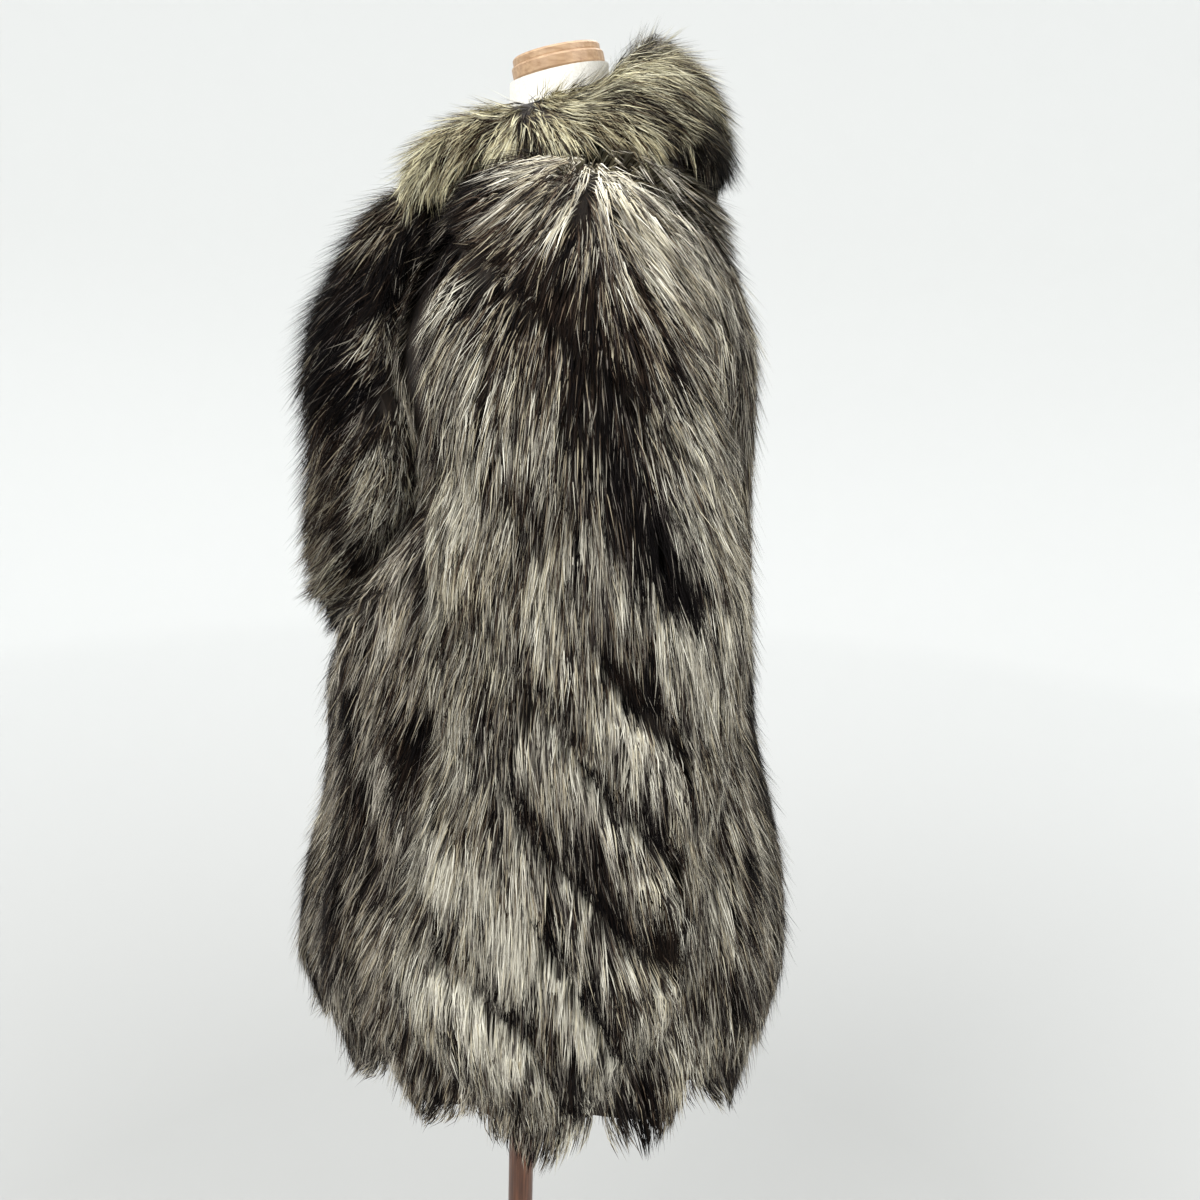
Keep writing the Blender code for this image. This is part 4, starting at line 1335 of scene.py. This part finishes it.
@dataclass
class CollarPanel(FurPanel):
    """The collar: it stands at the neck, rolls over and falls on the shoulders."""

    neck_y: float = 0.030
    # the hollow under the roll, from the middle of the back round to the front
    hollow: tuple[Triple, ...] = (
        (0.000, 0.110, 1.385), (0.050, 0.105, 1.386), (0.090, 0.085, 1.391), (0.110, 0.049, 1.396),
        (0.115, 0.011, 1.394), (0.115, -0.028, 1.378), (0.107, -0.060, 1.355),
    )
    # how far the hair is swept to the back, at places along Y from the front to the back
    sweep_at: tuple[float, ...] = (-0.07, -0.022, 0.014, 0.05, 0.09, 0.13)
    sweeps: tuple[float, ...] = (-0.70, -0.75, 0.90, 1.15, 0.85, 0.25)
    sway: Noise = Noise(0.30, 0.04, 71)
    # below these heights it falls steeper
    steeper: Pair = (1.388, 1.418)
    # tones: the middle one, how it varies, and lighter in front and beside the neck
    mid_tone: float = 0.58
    streaks: Noise = Noise(0.27, 0.022, 81)
    clouds: Noise = Noise(0.14, 0.06, 82)
    front_light: Change = Change(0.22, -0.060, -0.010)
    neck_light: Change = Change(0.60, 1.426, 1.438)
    neck_light_before: Pair = (0.015, 0.040)
    warmth: float = 0.55
    warm_clouds: Noise = Noise(0.2, 0.05, 83)
    # flat where the neck shows above it in front, and at the tail behind
    flat_above: Pair = (1.408, 1.430)
    flat_before: Pair = (0.034, 0.062)
    flat_by: float = 0.0110
    flat_longest: float = 0.030
    tail_behind: Pair = (0.090, 0.112)
    tail_below: Pair = (1.396, 1.416)
    tail_by: float = 0.0130
    tail_longest: float = 0.022
    # thinner on the neck's side in front, and in the parting over the shoulder
    covered: Pair = (0.002, 0.006)
    neck_side: Pair = (-0.25, 0.30)
    neck_side_before: Pair = (0.040, 0.075)
    neck_side_thinner: float = 0.96
    parting_y: float = -0.002
    parting_half: Pair = (0.008, 0.018)
    parting_above: Pair = (1.418, 1.428)
    parting_thinner: float = 0.75

    def heart(self, points: Array) -> Array:
        """The nearest place of the hollow under the roll."""
        line = np.array(self.hollow)
        t = np.linspace(0.0, len(line) - 1.0, 60)
        line = np.stack([np.interp(t, np.arange(len(line)), line[:, i]) for i in range(3)], 1)
        line = np.concatenate([line, line * (-1.0, 1.0, 1.0)])
        nearest = ((points[:, None, :2] - line[None, :, :2]) ** 2).sum(-1).argmin(1)
        return line[nearest]

    def growth(self, points: Array, normals: Array) -> Array:
        """Up from the neck, over the roll and down.

        Args:
            points: the places.
            normals: the face's normals there.

        Returns:
            The way, swept to the back behind the shoulder and to the front before it.
        """
        x, y, z = points.T
        radial = unit(np.stack([x, y - self.neck_y, np.zeros_like(x)], 1))
        round_it = np.stack([-radial[:, 1], radial[:, 0], np.zeros_like(x)], 1)
        over = np.cross(round_it, normals)
        back = round_it * np.sign(x + 1e-9)[:, None]
        sweep = np.interp(y, self.sweep_at, self.sweeps) + self.sway.at(points)
        low = fade(*self.steeper, z)[:, None]
        return over * (0.75 + 0.75 * low) + back * sweep[:, None] * (1.0 - 0.60 * low)

    def tone(self, points: Array) -> tuple[Array, Array]:
        """Olive-grey and cream, dark at the tail and in a few spots."""
        _, y, z = points.T
        tone = self.mid_tone + self.streaks.at(points) + self.clouds.at(points) + self.front_light.down(y)
        tone = tone + self.neck_light.up(z) * fade(*self.neck_light_before, y)
        warm = np.clip(self.warmth + self.warm_clouds.at(points), 0.0, 1.0)
        return lay_patches(COLLAR_PATCHES, y, z, tone, warm)

    def relief(self, points: Array, lay: Array) -> tuple[Array, Array]:
        """Flatter where the neck shows above it."""
        _, y, z = points.T
        low = ease(*self.flat_above, z) * fade(*self.flat_before, y)
        tail = ease(*self.tail_behind, y) * fade(*self.tail_below, z)
        longest = np.where(low > 0.4, self.flat_longest, np.where(tail > 0.3, self.tail_longest, 1.0))
        return -self.flat_by * low - self.tail_by * tail, longest

    def density(self, centres: Array, normals: Array, depths: Array) -> Array:
        """Even over the roll, and thin on the neck's side of it in front."""
        x, y, z = centres.T
        out = unit(np.stack([x, y - self.neck_y, np.zeros_like(x)], 1))
        inside = fade(*self.neck_side, dot(normals, out)[:, 0]) * fade(*self.neck_side_before, y)
        parting = fade(*self.parting_half, np.abs(y - self.parting_y)) * ease(*self.parting_above, z)
        share = ease(*self.covered, depths) * (1.0 - self.neck_side_thinner * inside)
        return share * (1.0 - self.parting_thinner * parting)


@dataclass
class Coat:
    """The fur coat: a back, two fronts, two sleeves, two lapels and a collar."""

    back: BodyPanel = field(
        default_factory=lambda: BodyPanel(
            "coat_back", "fur_back", 88000, (0.66, 0.78), 0.40, seed=3, past_edge=0.50,
        )
    )
    fronts: tuple[BodyPanel, ...] = field(
        default_factory=lambda: tuple(
            BodyPanel(
                "coat_front_" + s.word, "fur_front", 44000, (0.33, 0.78), 0.20, seed=4 + i,
                tint=(0.92, 0.90, 0.90), past_edge=0.32,
            )
            for i, s in enumerate(Side)
        )
    )
    sleeves: tuple[SleevePanel, ...] = field(
        default_factory=lambda: tuple(
            SleevePanel(
                "sleeve_" + s.word, "fur_sleeve", 92000, (0.46, 0.68), 0.26, seed=6, side=s,
                lock_contrast=0.28,
            )
            for s in Side
        )
    )
    lapels: tuple[LapelPanel, ...] = field(
        default_factory=lambda: tuple(
            LapelPanel(
                "lapel_" + s.word, "fur_dark", 26000, (0.16, 0.36), 0.051, seed=8, side=s,
                length=0.046, wisps=0.34, wisp_off=0.020, tip_off=0.0032, bend=0.16,
                rests_on=("coat_front_" + s.word + "_pelts",),
            )
            for s in Side
        )
    )
    collar: CollarPanel = field(
        default_factory=lambda: CollarPanel(
            "collar", "fur_collar", 52000, (0.16, 0.66), 0.067, seed=9, length=0.048, wisps=0.26,
            wisp_off=0.019, width=0.00084, tint=(1.0, 1.0, 0.86), lock_contrast=0.30, past_edge=0.80,
            lining="underfur", rests_on=("coat_back_pelts",),
        )
    )

    def build(self, solids: dict[str, bpy.types.Object]) -> None:
        """Makes every panel.

        Args:
            solids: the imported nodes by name.
        """
        linings = {finish.name: finish.material() for finish in (UNDERFUR, SKIN_SIDE)}
        for panel in (self.back, *self.fronts, *self.sleeves, *self.lapels, self.collar):
            panel.build(solids, linings)


# --------------------------------------------------------------------------- the form and its stand
@dataclass
class DressStand:
    """The dress form, its turned neck cap, the pole and the base: shapes kept, finishes given."""

    finishes: tuple[tuple[str, SurfaceFinish], ...] = (
        ("dress_form", FORM_CLOTH), ("neck_cap", CAP_WOOD),
        ("stand_pole", POLE_WOOD), ("stand_base", BASE_WOOD),
    )
    smooth_below: float = 38.0

    def dress(self, solids: dict[str, bpy.types.Object]) -> None:
        """Gives each solid its finish.

        Args:
            solids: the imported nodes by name.
        """
        for name, finish in self.finishes:
            solid = solids[name]
            made = finish.material()
            for slot in solid.material_slots:
                slot.material = made
            solid.data.shade_smooth()
            solid.data.set_sharp_from_angle(angle=math.radians(self.smooth_below))
            log.info("%s: %s", name, finish.name)


# --------------------------------------------------------------------------- the studio
@dataclass
class Studio:
    """Floor, soft lights and the camera."""

    camera_at: Triple = (1.03, 0.061, 1.32)
    pitch: float = 15.8
    roll: float = 2.0
    focal: float = 36.0
    sensor: float = 36.0
    nearest: float = 0.01
    # each light's name and place, the height that it points at, its side and its watts
    lights: tuple[tuple[str, Triple, float, float, float], ...] = (
        ("key_light", (1.9, -1.5, 2.6), 1.05, 1.6, 60.0),
        ("fill_light", (1.5, 2.0, 1.9), 1.0, 1.8, 38.0),
        ("top_light", (0.2, 0.0, 3.2), 1.0, 2.0, 36.0),
        ("side_light", (-1.7, 0.2, 3.0), 1.0, 1.4, 24.0),
    )
    # how much of the floor, out from its middle, is one flat face
    flat_share: float = 0.4
    floor_radius: float = 3.2
    cove_radius: float = 1.4
    wall_height: float = 3.4
    sky: Triple = (0.93, 0.955, 0.97)
    sky_strength: float = 1.2

    COVE_SIDES: ClassVar[int] = 96
    COVE_STEPS: ClassVar[int] = 12

    def build(self) -> None:
        """Makes the floor, the lights and the camera."""
        self.add_cove()
        world = bpy.data.worlds.new("studio")
        world.use_nodes = True
        shine = world.node_tree.nodes["Background"]
        shine.inputs["Color"].default_value = (*self.sky, 1.0)
        shine.inputs["Strength"].default_value = self.sky_strength
        bpy.context.scene.world = world
        for light in self.lights:
            self.add_light(*light)
        self.add_camera()
        bpy.context.scene.view_settings.view_transform = "Standard"

    def add_cove(self) -> None:
        """Makes a round floor that curves up into a wall all round, with no line between."""
        turns = [math.pi / 2.0 * i / self.COVE_STEPS for i in range(self.COVE_STEPS + 1)]
        profile = [(self.flat_share * self.floor_radius, 0.0)]
        profile += [
            (self.floor_radius + self.cove_radius * math.sin(a), self.cove_radius * (1.0 - math.cos(a)))
            for a in turns
        ]
        profile.append((profile[-1][0], self.wall_height))
        round_it = [2.0 * math.pi * j / self.COVE_SIDES for j in range(self.COVE_SIDES)]
        points = [(r * math.cos(a), r * math.sin(a), z) for r, z in profile for a in round_it]
        faces: list[tuple[int, ...]] = [tuple(range(self.COVE_SIDES))]
        for i in range(len(profile) - 1):
            low, high = i * self.COVE_SIDES, (i + 1) * self.COVE_SIDES
            for j in range(self.COVE_SIDES):
                k = (j + 1) % self.COVE_SIDES
                faces.append((low + j, high + j, high + k, low + k))
        mesh = bpy.data.meshes.new("floor")
        mesh.from_pydata(points, [], faces)
        mesh.shade_smooth()
        # the floor carries painted shade near its middle and painted light towards the wall
        mesh.materials.append(StageShadedPaint().material())
        link("floor", mesh)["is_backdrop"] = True

    def add_light(self, name: str, at: Triple, height: float, size: float, power: float) -> None:
        """Hangs a square soft light.

        Args:
            name: its name.
            at: where it hangs.
            height: of the place over the origin that it points at.
            size: its side.
            power: its power in watts.
        """
        data = bpy.data.lights.new(name, "AREA")
        data.size, data.energy = size, power
        lamp = bpy.data.objects.new(name, data)
        bpy.context.scene.collection.objects.link(lamp)
        lamp.location = at
        lamp.rotation_euler = (Vector((0.0, 0.0, height)) - Vector(at)).to_track_quat("-Z", "Y").to_euler()

    def add_camera(self) -> None:
        """Sets the camera level with the collar, looking down on the coat's left side."""
        pitch, roll = math.radians(self.pitch), math.radians(self.roll)
        level, up = Vector((0, 1, 0)), Vector((-math.sin(pitch), 0, math.cos(pitch)))
        back = Vector((math.cos(pitch), 0, math.sin(pitch)))
        turned = (
            level * math.cos(roll) + up * math.sin(roll), up * math.cos(roll) - level * math.sin(roll), back
        )
        data = bpy.data.cameras.new("camera")
        data.lens, data.sensor_width, data.clip_start = self.focal, self.sensor, self.nearest
        camera = bpy.data.objects.new("camera", data)
        bpy.context.scene.collection.objects.link(camera)
        camera.matrix_world = Matrix.Translation(self.camera_at) @ Matrix(turned).transposed().to_4x4()
        bpy.context.scene.camera = camera


def link(name: str, mesh: bpy.types.Mesh) -> bpy.types.Object:
    """Puts a mesh in the scene as an object at the origin."""
    thing = bpy.data.objects.new(name, mesh)
    bpy.context.scene.collection.objects.link(thing)
    return thing


def corners() -> list[list[float]]:
    """The shown object's lowest and highest corner."""
    return [list(corner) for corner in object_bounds()]


def main() -> None:
    """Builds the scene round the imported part."""
    logging.basicConfig(level=logging.INFO, format="%(message)s")
    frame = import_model()
    Studio().build()
    DressStand().dress(frame["nodes"])
    Coat().build(frame["nodes"])


if __name__ == "__main__":
    main()
